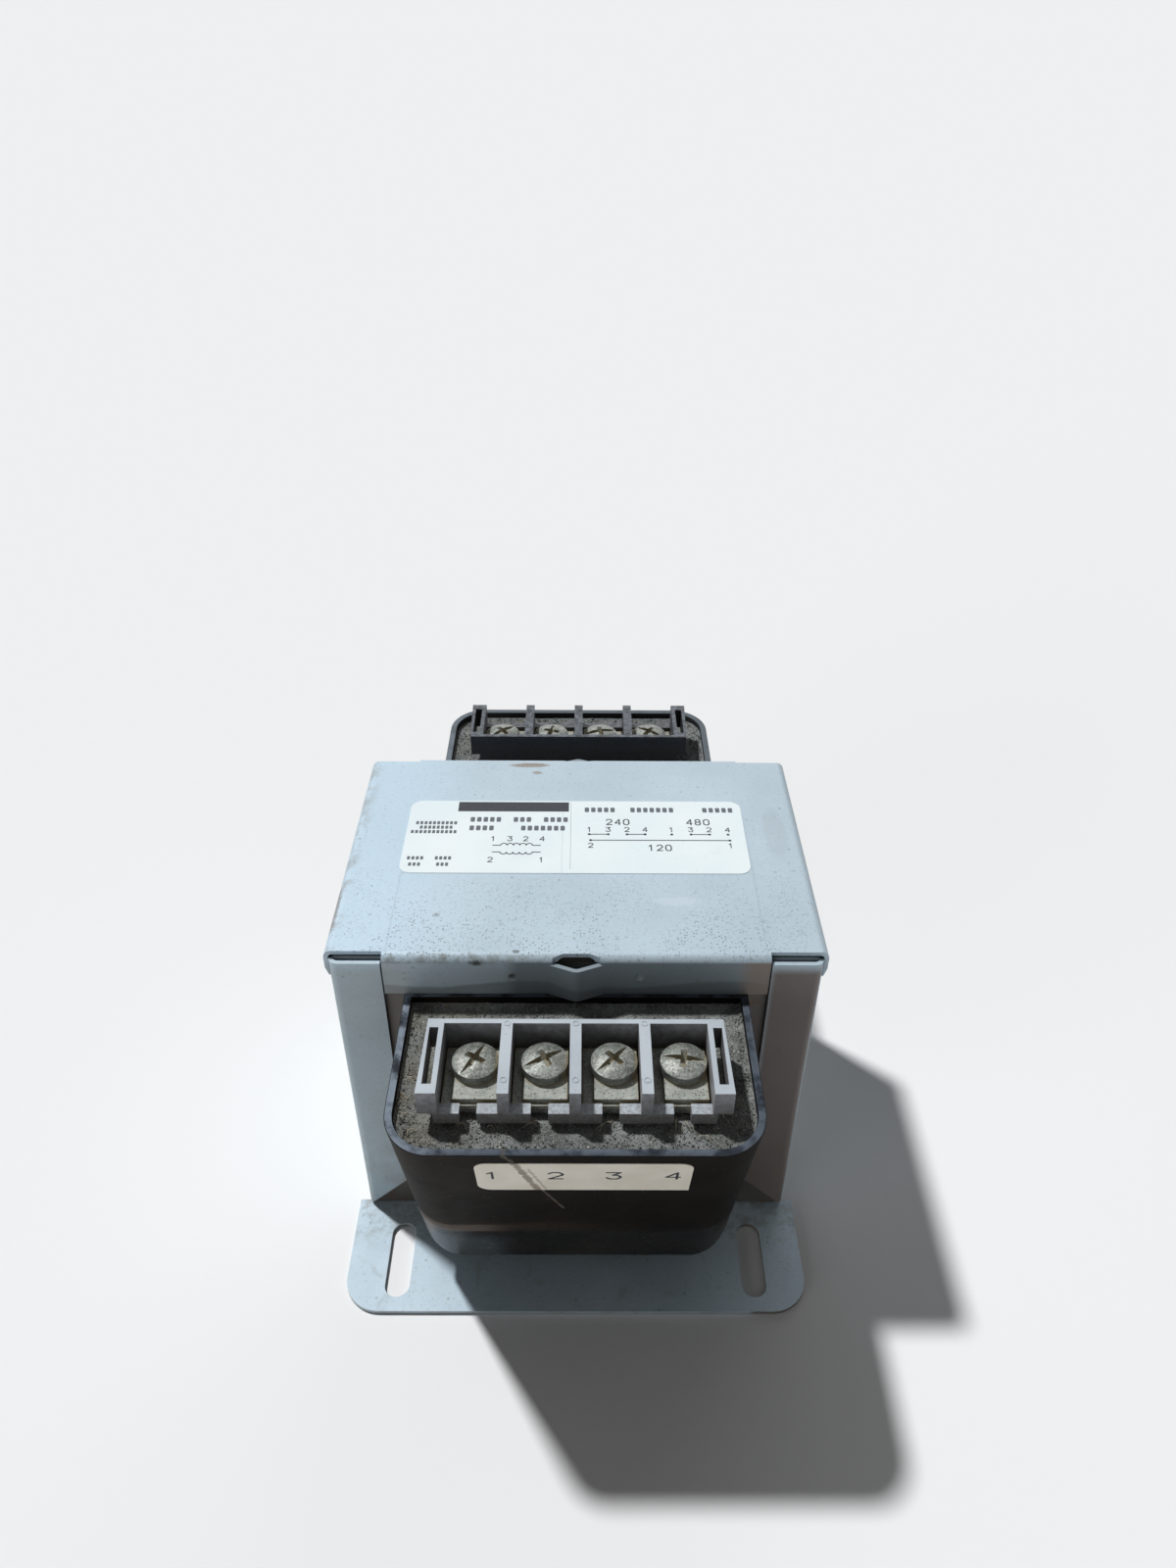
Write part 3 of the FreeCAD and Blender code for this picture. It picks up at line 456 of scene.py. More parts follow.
def wound_copper():
    """Enamelled wire laid side by side up the coil."""
    p = Paint("copper_wire", metallic=0.85)
    turn = p.math("FRACT", p.times(p.z, 1 / WIRE))
    dip = p.off(turn, 0.5)
    p.start(p.noise(0.3, 3), (150, 84, 48), (186, 112, 64))
    p.lay((66, 30, 18), p.rise(dip, 0.36, 0.5))
    return p.finish(0.32, p.times(dip, dip, -4.0), 0.3)


def plain(name, light, dark, rough):
    """Fibrous paper, nylon or sleeving, in two near tones."""
    p = Paint(name, specular=0.3)
    fibre = p.noise(1.2, 5, 0.7, 0.4, p.stretched(1.0, 1.0, 0.35))
    p.start(p.rise(fibre, 0.35, 0.65), dark, light)
    return p.finish(rough, fibre, 0.03)


FOLD_X = -3.2


def label_face():
    """White printed vinyl with a faint fold, grey handling marks and a thin film of dirt."""
    p = Paint("label_white", specular=0.35)
    p.start(p.patches(0.05, 0.3, 0.7), (226, 238, 242), (234, 243, 245))
    fold = p.rise(p.off(p.add(p.x, -FOLD_X, p.times(p.noise(0.2), 0.3))), 0.35, 0.05)
    p.lay((190, 204, 212), fold, 0.25)
    p.lay((150, 156, 156), p.specks(0.9, 0.14, 0.10), 0.4)
    p.lay((204, 214, 216), p.patches(0.18, 0.55, 0.8, 5, 0.65), 0.2)
    height = p.add(p.noise(0.16, 2), p.times(fold, 0.2))
    return p.finish(p.add(0.34, p.times(p.noise(0.5, 3), 0.12)), height, 0.03)


def strip_face():
    """Cream marking strip with a dirty scratch across it."""
    p = Paint("strip_cream", specular=0.3)
    p.start(p.patches(0.12, 0.3, 0.7), (211, 204, 190), (221, 215, 203))
    scratch = p.times(p.stroke((-10.9, 70.4), (-6.7, 54.2), 0.85, 0.6, 0.9),
                      p.add(0.55, p.times(p.noise(0.7, 5, 0.7), 0.5)))
    beside = p.stroke((-8.2, 66.0), (-5.2, 54.6), 0.4, 0.7, 1.2)
    p.lay((98, 84, 66), p.most(scratch, p.times(beside, 0.5)), 0.9)
    p.lay((120, 108, 90), p.specks(1.2, 0.14, 0.12), 0.5)
    return p.finish(0.5, p.noise(0.4, 3), 0.02)


def ink(name, colour):
    """Printing ink, slightly worn through."""
    p = Paint(name, specular=0.3)
    p.start(p.times(p.patches(2.5, 0.5, 0.7, 4), 0.25), colour, (92, 98, 104))
    return p.finish(0.5)


def fibre_lint():
    """Straw-coloured to white lint."""
    p = Paint("fibre_lint", specular=0.2)
    p.start(p.noise(1.5, 2), (150, 138, 112), (206, 200, 184))
    return p.finish(0.8)


materials = {
    "zinc_sheet": zinc_sheet(),
    "black_plastic": black_plastic(),
    "potting_compound": potting_compound(),
    "grey_plastic": moulding("grey_plastic", light=(184, 193, 201), dark=(169, 178, 187),
                             dirt=(82, 78, 70), film_colour=(182, 190, 194), film_strength=0.3,
                             side_grime_and_shade=0.48, side_colour=(94, 86, 84)),
    "terminal_metal": plated("terminal_metal", (164, 168, 162), (134, 139, 133),
                             metallic=0.2, rough=0.6),
    "screw_metal": plated("screw_metal", (132, 137, 132), (88, 92, 87), metallic=0.3, rough=0.38),
    "core_steel": core_steel(),
    "copper_wire": wound_copper(),
    "bobbin_nylon": plain("bobbin_nylon", (212, 206, 186), (196, 188, 166), rough=0.5),
    "insulation_paper": plain("insulation_paper", (196, 172, 124), (172, 146, 98), rough=0.6),
    "lead_wire": plain("lead_wire", (52, 50, 48), (36, 35, 34), rough=0.55),
}
rear_block = moulding("black_block", light=(44, 48, 56), dark=(34, 38, 46), dirt=(66, 64, 60),
                      film_colour=(108, 116, 124), film_strength=0.85, side_grime_and_shade=0.0,
                      side_colour=(72, 80, 90))
label_white = label_face()
strip_cream = strip_face()
ink_dark = ink("ink_dark", (34, 38, 46))
ink_soft = ink("ink_soft", (92, 98, 106))
lint = fibre_lint()


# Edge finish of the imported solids

WELD = 0.002 * MM
FLAT_ANGLE = math.radians(0.6)
EDGE_ANGLE = math.radians(28)
EDGE_SEGMENTS = 2
NORMAL_WEIGHT = 60
EDGE_RADIUS = {"zinc_sheet": 0.14, "black_plastic": 0.55, "grey_plastic": 0.16, "terminal_metal": 0.14,
               "screw_metal": 0.12}


def soften(node, radius):
    """Rounds a node's sharp edges with modifiers; its own mesh stays as packed."""
    set_up(node.modifiers.new("weld", "WELD"), merge_threshold=WELD)
    set_up(node.modifiers.new("flat", "DECIMATE"), decimate_type="DISSOLVE", angle_limit=FLAT_ANGLE)
    set_up(node.modifiers.new("edge", "BEVEL"), width=radius * MM, segments=EDGE_SEGMENTS,
           limit_method="ANGLE", angle_limit=EDGE_ANGLE, use_clamp_overlap=True)
    set_up(node.modifiers.new("even", "WEIGHTED_NORMAL"), weight=NORMAL_WEIGHT, keep_sharp=False)


slots = {row["node"]: row["material_slot"] for row in frame["record"]["subparts"]}
for name, node in nodes.items():
    slot = slots[name]
    node.data.materials.clear()
    node.data.materials.append(rear_block if name == "primary_terminal_block" else materials[slot])
    if slot in EDGE_RADIUS:
        soften(node, EDGE_RADIUS[slot])


# Shapes of the added pieces

def piece(name, mesh, material, body="frame", smooth=False):
    """Object in the object's own frame that rides on a body."""
    made = new_object(name, mesh)
    mesh.materials.append(material)
    for polygon in mesh.polygons:
        polygon.use_smooth = smooth
    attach(made, body)
    return made


def mesh_of(name, points, faces):
    mesh = bpy.data.meshes.new(name)
    mesh.from_pydata([[c * MM for c in p] for p in points], [], faces)
    mesh.update()
    return mesh


def around(u, v, radius, angle):
    return (u + radius * math.cos(angle), v + radius * math.sin(angle))


def rounded(x_low, x_high, y_low, y_high, radii, steps):
    """Outline of a rectangle with a radius for each corner, anticlockwise from the lower left."""
    corners = [(x_low, y_low, 1, 1, 180), (x_high, y_low, -1, 1, 270),
               (x_high, y_high, -1, -1, 0), (x_low, y_high, 1, -1, 90)]
    points = []
    for (x, y, sx, sy, start), radius in zip(corners, radii):
        cx, cy = x + sx * radius, y + sy * radius
        for i in range(steps + 1 if radius else 1):
            points.append(around(cx, cy, radius, math.radians(start + 90 * i / steps)))
    return points


# Strokes and blanks of print. Overlapping strokes stand a step apart, so that no two faces coincide.
LARGE_CORNER_STEPS = 8
SMALL_CORNER_STEPS = 4
DOT_SIDES = 12
LOOP_STEPS = 10
STROKE_STEP = 0.0004
DIGIT_WIDTH = 0.62
DIGIT_WEIGHT = 0.15
DIGIT_GAP = 2.6
BLANK_PITCH = 0.86
BLANK_FILL = 0.68
BLANK_ROUND = 0.14
DIGITS = {
    "0": [(0, 0.2), (0, 0.8), (0.25, 1), (0.75, 1), (1, 0.8), (1, 0.2), (0.75, 0), (0.25, 0), (0, 0.2)],
    "1": [(0.2, 0.78), (0.55, 1), (0.55, 0)],
    "2": [(0, 0.8), (0.25, 1), (0.75, 1), (1, 0.8), (1, 0.6), (0, 0), (1, 0)],
    "3": [(0, 1), (1, 1), (0.45, 0.6), (0.75, 0.6), (1, 0.4), (1, 0.2), (0.75, 0), (0.25, 0), (0, 0.2)],
    "4": [(0.8, 0), (0.8, 1), (0, 0.3), (1, 0.3)],
    "8": [(0.25, 0.52), (0, 0.3), (0, 0.18), (0.25, 0), (0.75, 0), (1, 0.18), (1, 0.3), (0.75, 0.52),
          (0.25, 0.52), (0.05, 0.68), (0.05, 0.84), (0.25, 1), (0.75, 1), (0.95, 0.84), (0.95, 0.68),
          (0.75, 0.52)],
}


class Sheet:
    """Thin shapes between two heights over a face, in one mesh. place(u, v, height) gives the 3-D point."""

    def __init__(self, place, low, high):
        self.place = place
        self.low = low
        self.high = high
        self.points = []
        self.faces = []

    def prism(self, outline, lip=0.0, step=0.0):
        """Flat shape with its top edge drawn in by a lip, or its top raised by a step."""
        start = len(self.points)
        n = len(outline)
        high = self.high + step
        rings = [(outline, self.low), (outline, high - lip)]
        if lip:
            cu = sum(u for u, v in outline) / n
            cv = sum(v for u, v in outline) / n
            inner = []
            for u, v in outline:
                away = math.hypot(u - cu, v - cv)
                inner.append((u - (u - cu) / away * lip, v - (v - cv) / away * lip))
            rings.append((inner, high))
        for ring, height in rings:
            self.points += [self.place(u, v, height) for u, v in ring]
        for k in range(len(rings) - 1):
            a = start + k * n
            self.faces += [(a + i, a + (i + 1) % n, a + n + (i + 1) % n, a + n + i) for i in range(n)]
        top = start + (len(rings) - 1) * n
        self.faces.append(tuple(range(top, top + n)))
        self.faces.append(tuple(range(start + n - 1, start - 1, -1)))

    def bar(self, u_low, u_high, v_low, v_high, radius=0.0):
        self.prism(rounded(u_low, u_high, v_low, v_high, [radius] * 4, SMALL_CORNER_STEPS))

    def line(self, start, end, width, step=0.0):
        du, dv = end[0] - start[0], end[1] - start[1]
        length = math.hypot(du, dv)
        nu, nv = -dv / length * width / 2, du / length * width / 2
        self.prism([(start[0] - nu, start[1] - nv), (end[0] - nu, end[1] - nv),
                    (end[0] + nu, end[1] + nv), (start[0] + nu, start[1] + nv)], step=step)

    def dot(self, u, v, radius, step=0.0):
        turns = [2 * math.pi * i / DOT_SIDES for i in range(DOT_SIDES)]
        self.prism([around(u, v, radius, a) for a in turns], step=step)

    def coil(self, u_low, u_high, v, loops, width, side):
        """Row of half loops, as a winding is drawn."""
        radius = (u_high - u_low) / loops / 2
        inner = radius - width / 2
        outer = radius + width / 2
        angles = [math.pi * k / LOOP_STEPS for k in range(LOOP_STEPS + 1)]
        for i in range(loops):
            u = u_low + radius * (2 * i + 1)
            ring = [around(u, v, outer, side * a) for a in angles]
            ring += [around(u, v, inner, side * a) for a in reversed(angles)]
            self.prism(ring if side > 0 else ring[::-1])

    def number(self, text, u, v, tall, widen=DIGIT_WIDTH, weight=DIGIT_WEIGHT):
        """Plain digits of straight strokes, centred on (u, v)."""
        wide = tall * widen
        advance = wide + DIGIT_GAP * weight * tall
        left = u - (advance * (len(text) - 1) + wide) / 2
        for i, digit in enumerate(text):
            corner = (left + advance * i, v - tall / 2)
            points = [(corner[0] + wide * a, corner[1] + tall * b) for a, b in DIGITS[digit]]
            for k, (start, end) in enumerate(zip(points, points[1:])):
                self.line(start, end, weight * tall, STROKE_STEP * k)
            for k, (a, b) in enumerate(points):
                self.dot(a, b, weight * tall / 2, STROKE_STEP * (k + 0.5))

    def blanks(self, u_low, u_high, v, tall):
        """Row of blank blocks in place of lettering."""
        pitch = tall * BLANK_PITCH
        for i in range(max(1, round((u_high - u_low) / pitch))):
            u = u_low + pitch * i
            self.bar(u, u + BLANK_FILL * pitch, v - tall / 2, v + tall / 2, BLANK_ROUND * tall)

    def piece(self, name, material):
        piece(name, mesh_of(name, self.points, self.faces), material)


# Label on the cover

# A white field with a bar, blank rows, digits and a winding sketch. Places are across and towards
# the rear from the middle of the cover.
LABEL_X = (-38.0, 37.2)
LABEL_Y = (-9.0, 16.5)
LABEL_RADIUS = 2.6
LABEL_THICKNESS = 0.12
LABEL_EDGE = 0.05
INK_REACH = 0.02
INK_LEVELS = (LABEL_THICKNESS - INK_REACH, LABEL_THICKNESS + INK_REACH)
LINE = 0.26
DIVIDER = 0.06
DIVIDER_X = -1.5
DIVIDER_Y = (-7.7, 15.7)
HEADING_BAR = (-27.2, -2.0, 12.5, 16.0)
TALL_ROW = 1.7
LOW_ROW = 1.1
# Blank rows: left end, right end, middle and height
BLANK_ROWS = (
    (-24.1, -16.2, 9.5, TALL_ROW), (-14.4, -9.6, 9.5, TALL_ROW), (-7.6, -2.4, 9.5, TALL_ROW),
    (-24.1, -18.4, 6.4, TALL_ROW), (-12.6, -2.4, 6.4, TALL_ROW),
    (-36.2, -27.0, 8.2, LOW_ROW), (-35.2, -28.0, 6.6, LOW_ROW), (-37.0, -26.2, 5.0, LOW_ROW),
    (-36.7, -32.9, -4.1, LOW_ROW), (-36.2, -33.4, -6.2, LOW_ROW),
    (-30.7, -26.9, -4.1, LOW_ROW), (-30.2, -27.4, -6.2, LOW_ROW),
    (1.6, 9.0, 13.2, TALL_ROW), (12.0, 22.4, 13.2, TALL_ROW), (28.4, 35.0, 13.2, TALL_ROW),
)
SMALL_DIGIT = 1.5
LARGE_DIGIT = 1.9
# Winding sketch: two rows of loops with a lead at each end, and a digit for each lead
COIL_X = (-16.8, -9.8)
COIL_SIDES = ((0.3, 1), (-2.0, -1))
COIL_LOOPS = 5
COIL_LEAD = 1.8
COIL_DIGITS = (("1", -18.6, 2.6), ("3", -14.9, 2.6), ("2", -11.4, 2.6), ("4", -7.8, 2.6),
               ("2", -18.8, -4.6), ("1", -7.8, -4.6))
# Tap diagrams: numbered dots with links, over one long line with a dot at each end
TAPS = ((2.6, "1"), (6.8, "3"), (11.0, "2"), (15.0, "4"), (20.9, "1"), (25.2, "3"), (29.3, "2"), (33.4, "4"))
TAP_LINKS = ((2.6, 6.8), (11.0, 15.0), (25.2, 29.3))
TAP_LEVEL = 4.3
TAP_DIGIT_LEVEL = 6.0
TAP_DOT = 0.34
LONG_LINE_ENDS = ((2.9, "2"), (33.6, "1"))
LONG_LINE_LEVEL = 2.2
LONG_LINE_DIGIT_LEVEL = 0.4
VOLTAGES = (("240", 9.0, 8.7), ("480", 27.0, 8.7), ("120", 18.0, -0.4))


def on_cover(u, v, height):
    return (u, v, COVER_TOP + height)


def winding_sketch(dark):
    for v, side in COIL_SIDES:
        dark.coil(*COIL_X, v, COIL_LOOPS, LINE, side)
        dark.line((COIL_X[0] - COIL_LEAD, v), (COIL_X[0], v), LINE)
        dark.line((COIL_X[1], v), (COIL_X[1] + COIL_LEAD, v), LINE)
    for text, u, v in COIL_DIGITS:
        dark.number(text, u, v, SMALL_DIGIT)


def tap_diagrams(dark):
    for u, text in TAPS:
        dark.number(text, u, TAP_DIGIT_LEVEL, SMALL_DIGIT)
        dark.dot(u, TAP_LEVEL, TAP_DOT)
    for start, end in TAP_LINKS:
        dark.line((start, TAP_LEVEL), (end, TAP_LEVEL), LINE)
    left, right = LONG_LINE_ENDS
    dark.line((left[0], LONG_LINE_LEVEL), (right[0], LONG_LINE_LEVEL), LINE)
    for u, text in LONG_LINE_ENDS:
        dark.dot(u, LONG_LINE_LEVEL, TAP_DOT)
        dark.number(text, u, LONG_LINE_DIGIT_LEVEL, SMALL_DIGIT)
    for text, u, v in VOLTAGES:
        dark.number(text, u, v, LARGE_DIGIT)


def cover_label():
    plate = Sheet(on_cover, 0.0, LABEL_THICKNESS)
    plate.prism(rounded(*LABEL_X, *LABEL_Y, [LABEL_RADIUS] * 4, LARGE_CORNER_STEPS), LABEL_EDGE)
    plate.piece("cover_label", label_white)
    dark = Sheet(on_cover, *INK_LEVELS)
    dark.bar(*HEADING_BAR)
    winding_sketch(dark)
    tap_diagrams(dark)
    dark.piece("cover_label_print", ink_dark)
    soft = Sheet(on_cover, *INK_LEVELS)
    for row in BLANK_ROWS:
        soft.blanks(*row)
    soft.line((DIVIDER_X, DIVIDER_Y[0]), (DIVIDER_X, DIVIDER_Y[1]), DIVIDER)
    soft.piece("cover_label_bars", ink_soft)


# Marking strip on the sloping face of the secondary shell

STRIP_X = (-17.9, 21.0)
STRIP_Z = (55.0, 69.2)
STRIP_RADII = (2.6, 0, 2.6, 2.6)
STRIP_THICKNESS = 0.14
STRIP_DIGIT = 3.4
STRIP_DIGIT_WIDTH = 0.72
STRIP_DIGIT_WEIGHT = 0.14
STRIP_DIGIT_LEVEL = 63.0
STRIP_DIGITS = (("1", -15.0), ("2", -3.5), ("3", 6.9), ("4", 17.6))
FACE_NORMAL = Vector((0, -1, -FACE_FALL)).normalized()


def on_face(u, v, height):
    """Point on the front face of the secondary shell, where v is the height above the base."""
    y = -(RIM_OUT - FACE_FALL * (RIM_LEVEL - v))
    return tuple(Vector((u, y, v)) + FACE_NORMAL * height)


def marking_strip():
    plate = Sheet(on_face, 0.0, STRIP_THICKNESS)
    plate.prism(rounded(*STRIP_X, *STRIP_Z, STRIP_RADII, LARGE_CORNER_STEPS), LABEL_EDGE)
    plate.piece("marking_strip", strip_cream)
    marks = Sheet(on_face, STRIP_THICKNESS - INK_REACH, STRIP_THICKNESS + INK_REACH)
    for text, u in STRIP_DIGITS:
        marks.number(text, u, STRIP_DIGIT_LEVEL, STRIP_DIGIT, STRIP_DIGIT_WIDTH, STRIP_DIGIT_WEIGHT)
    marks.piece("marking_strip_print", ink_dark)


# Potting crust

# The granular top of the compound. Here u runs to the right, as seen from the side in question, and
# out is the distance from the middle of the core towards that side.
POTTING = "potting_compound"
CRUST_LEVEL = 70.7
CRUST_STEP = 0.36
CRUST_EDGE = 0.03
CRUST_SEAT = 0.05
CRUST_SHARP = math.radians(60)
# Waves and grit of the surface: frequency and height
CRUST_WAVES = ((0.2, 0.16), (0.7, 0.07), (1.7, 0.06), (3.7, 0.06))
PLINTH_BITE = 0.5
MENISCUS = 0.6
MENISCUS_REACH = 0.9
BACK_WALL_GAP = 0.4


def cup_inside(level):
    """Half width, back, front and corner radius of the cup at a level."""
    drop = RIM_LEVEL - level
    half = SHELL_HALF - SHELL_WALL - SHELL_DRAFT * drop / (RIM_LEVEL - FOOT_LEVEL)
    front = RIM_OUT - FACE_FALL * drop - SHELL_WALL * math.hypot(1, FACE_FALL)
    return half, SHELL_INNER_BACK, front, SHELL_ROUND - SHELL_WALL


def inside_place(u, out, half, front, radius):
    """Point pulled in from the cup's rounded front corners, and its distance to the wall."""
    corner_u = abs(u) - (half - radius)
    corner_out = out - (front - radius)
    if corner_u <= 0 or corner_out <= 0:
        return u, out, min(half - abs(u), front - out)
    away = math.hypot(corner_u, corner_out)
    if away > radius:
        corner_u *= radius / away
        corner_out *= radius / away
        away = radius
    return math.copysign(half - radius + corner_u, u), front - radius + corner_out, radius - away


def crust_height(u, out, wall, seed):
    """Height over the potting's mean level: grit, slow waves and a creep up the cup's wall."""
    spot = Vector((u, out, seed))
    height = sum(tall * noise.noise(spot * frequency) for frequency, tall in CRUST_WAVES)
    return height + MENISCUS * math.exp(-wall / MENISCUS_REACH)


def in_plinth(side, u, out, margin):
    front = BLOCK_BACK + BLOCK_DEPTHS[side] - PLINTH_SETBACK
    return abs(u) < PLINTH_HALF - margin and BLOCK_BACK + margin < out < front - margin


def crust_layer(sign, columns, rows, level, bumps):
    """Grid of points across the cup at a level, with bumps(u, out, wall) added to it."""
    half, back, front, radius = cup_inside(level)
    half -= CRUST_EDGE
    front -= CRUST_EDGE
    points = []
    for j in range(rows + 1):
        for i in range(columns + 1):
            u = -half + 2 * half * i / columns
            out = back + (front - back) * j / rows
            u, out, wall = inside_place(u, out, half, front, radius)
            wall = min(wall, out - back + BACK_WALL_GAP)
            points.append((-sign * u, sign * out, level + bumps(u, out, wall)))
    return points


def potting_crust(side, sign, seed):
    """Closed crust from the compound's top to the granular surface, open round the block's plinth."""
    half, back, front, radius = cup_inside(CRUST_LEVEL)
    columns = round(2 * half / CRUST_STEP)
    rows = round((front - back) / CRUST_STEP)
    count = (columns + 1) * (rows + 1)
    top = crust_layer(sign, columns, rows, CRUST_LEVEL, lambda u, out, wall: crust_height(u, out, wall, seed))
    foot = crust_layer(sign, columns, rows, COMPOUND_LEVEL - CRUST_SEAT, lambda u, out, wall: 0.0)
    tiles = set()
    for j in range(rows):
        for i in range(columns):
            x, y, z = top[j * (columns + 1) + i]
            if not in_plinth(side, x, abs(y), PLINTH_BITE):
                tiles.add((i, j))
    faces = []
    for i, j in sorted(tiles):
        a = j * (columns + 1) + i
        b, c, d = a + 1, a + columns + 2, a + columns + 1
        faces.append((a, d, c, b))
        faces.append((count + a, count + b, count + c, count + d))
        edges = (((i, j - 1), a, b), ((i + 1, j), b, c), ((i, j + 1), c, d), ((i - 1, j), d, a))
        for beside, start, end in edges:
            if beside not in tiles:
                faces.append((start, end, count + end, count + start))
    mesh = mesh_of("crust", top + foot, faces)
    shape = bmesh.new()
    shape.from_mesh(mesh)
    bmesh.ops.delete(shape, geom=[v for v in shape.verts if not v.link_faces], context="VERTS")
    bmesh.ops.recalc_face_normals(shape, faces=shape.faces)
    shape.to_mesh(mesh)
    shape.free()
    made = piece(f"{side}_potting_crust", mesh, materials[POTTING], smooth=True)
    made.data.set_sharp_from_angle(angle=CRUST_SHARP)


# Crumbs on the crust, in drifts and along the cup's wall

CRUMB_COUNT = 4200
CRUMB_SIZES = (0.09, 0.36)
CRUMB_MARGIN = 0.3
CRUMB_RISE = 0.3
CRUMB_REACHES = (0.6, 1.1)
CRUMB_JITTER = 0.2
DRIFT_SHARE = 0.55
DRIFT_SWING = 0.45
DRIFT_FREQUENCY = 0.12
WALL_REACH = 1.5
WALL_SHARE = 0.4


def crumb(points, faces, centre, size, rng):
    """Irregular eight-faced grain."""
    start = len(points)
    for axis in ((1, 0, 0), (-1, 0, 0), (0, 1, 0), (0, -1, 0), (0, 0, 1), (0, 0, -1)):
        reach = size * rng.uniform(*CRUMB_REACHES)
        points.append(tuple(c + a * reach + rng.uniform(-CRUMB_JITTER, CRUMB_JITTER) * size
                            for c, a in zip(centre, axis)))
    for x in (0, 1):
        for y in (2, 3):
            for z in (4, 5):
                flip = (x + y + z) % 2 == 0
                faces.append((start + x, start + y, start + z) if flip else (start + x, start + z, start + y))


def potting_crumbs(side, sign, seed):
    rng = random.Random(seed)
    half, back, front, radius = cup_inside(CRUST_LEVEL)
    half -= CRUMB_MARGIN
    front -= CRUMB_MARGIN
    points = []
    faces = []
    made = 0
    while made < CRUMB_COUNT:
        u = rng.uniform(-half, half)
        out = rng.uniform(back + CRUMB_MARGIN, front)
        drift = Vector((u * DRIFT_FREQUENCY, out * DRIFT_FREQUENCY, seed))
        share = DRIFT_SHARE + DRIFT_SWING * noise.noise(drift)
        u_in, out_in, wall = inside_place(u, out, half, front, radius)
        if (u_in, out_in) != (u, out) or rng.random() > share + (WALL_SHARE if wall < WALL_REACH else 0):
            continue
        if in_plinth(side, u, out, 0):
            continue
        size = CRUMB_SIZES[0] + (CRUMB_SIZES[1] - CRUMB_SIZES[0]) * rng.random() ** 3
        level = CRUST_LEVEL + crust_height(u, out, wall, seed) + CRUMB_RISE * size
        crumb(points, faces, (-sign * u, sign * out, level), size, rng)
        made += 1
    piece(f"{side}_potting_crumbs", mesh_of("crumbs", points, faces), materials[POTTING])


# Round ejector marks on the tops of the terminal blocks, at each partition

MARK_RADIUS = 0.65
MARK_RIM = 0.16
MARK_STEP = 0.09
MARK_SEAT = 0.02
MARK_SIDES = 18
MARK_FROM_BACK = 1.1
MARK_FROM_FRONT = 3.0
MARK_PLACES = (-12.7, 0.0, 12.7)


def block_marks(side, sign):
    marks = Sheet(lambda u, v, height: (-sign * u, sign * v, BLOCK_TOP + height), -MARK_SEAT, MARK_STEP)
    turns = [2 * math.pi * k / MARK_SIDES for k in range(MARK_SIDES)]
    inner = MARK_RADIUS - MARK_RIM
    for u in MARK_PLACES:
        for v in (BLOCK_BACK + MARK_FROM_BACK, BLOCK_BACK + BLOCK_DEPTHS[side] - MARK_FROM_FRONT):
            for turn, following in zip(turns, turns[1:] + turns[:1]):
                ends = ((inner, turn), (MARK_RADIUS, turn), (MARK_RADIUS, following), (inner, following))
                quad = [around(u, v, r, a) for r, a in ends]
                marks.prism(quad if sign < 0 else quad[::-1])
    material = materials["grey_plastic"] if side == "secondary" else rear_block
    marks.piece(f"{side}_block_marks", material)


# Fibres of lint caught on the potting and round the blocks

FIBRE_RADIUS = 0.045
FIBRE_SIDES = 5
FIBRE_STEPS = 9
FIBRE_STRANDS = 2
FIBRE_LENGTHS = (1.6, 4.2)
FIBRE_BEND = 1.2
FIBRE_SCATTER = (0.5, 0.4)
FIBRE_FLATTEN = 0.7
FIBRE_LIFT = 0.45
# Side vector that no fibre runs along
ASIDE = Vector((0.3, 0.2, 1.0))
# Where the fibres lie: across, out and the height of their arch
FIBRE_PLACES = (
    (-30.5, 62.0, 0.4), (-31.0, 58.5, 0.3), (-30.2, 54.0, 0.3), (-29.6, 66.0, 0.4), (-26.0, 68.0, 0.3),
    (-20.2, 64.4, 1.2), (-14.5, 64.9, 1.0), (-7.6, 64.4, 1.6), (5.2, 64.8, 1.4), (17.6, 64.2, 1.8),
    (19.4, 64.9, 1.0), (29.6, 60.0, 0.3), (-16.0, 41.5, 0.4), (9.0, 44.0, 0.3), (24.0, 67.0, 0.3),
)


def tube_along(points, faces, path, radius):
    """Thin closed tube along a list of points."""
    start = len(points)
    for k, centre in enumerate(path):
        ahead = path[min(k + 1, len(path) - 1)] - path[max(k - 1, 0)]
        across = ahead.cross(ASIDE).normalized()
        up = across.cross(ahead).normalized()
        for i in range(FIBRE_SIDES):
            turn = 2 * math.pi * i / FIBRE_SIDES
            points.append(tuple(centre + across * radius * math.cos(turn) + up * radius * math.sin(turn)))
    for k in range(len(path) - 1):
        ring = start + k * FIBRE_SIDES
        for i in range(FIBRE_SIDES):
            j = (i + 1) % FIBRE_SIDES
            faces.append((ring + i, ring + j, ring + FIBRE_SIDES + j, ring + FIBRE_SIDES + i))
    last = start + (len(path) - 1) * FIBRE_SIDES
    faces.append(tuple(range(start + FIBRE_SIDES - 1, start - 1, -1)))
    faces.append(tuple(range(last, last + FIBRE_SIDES)))


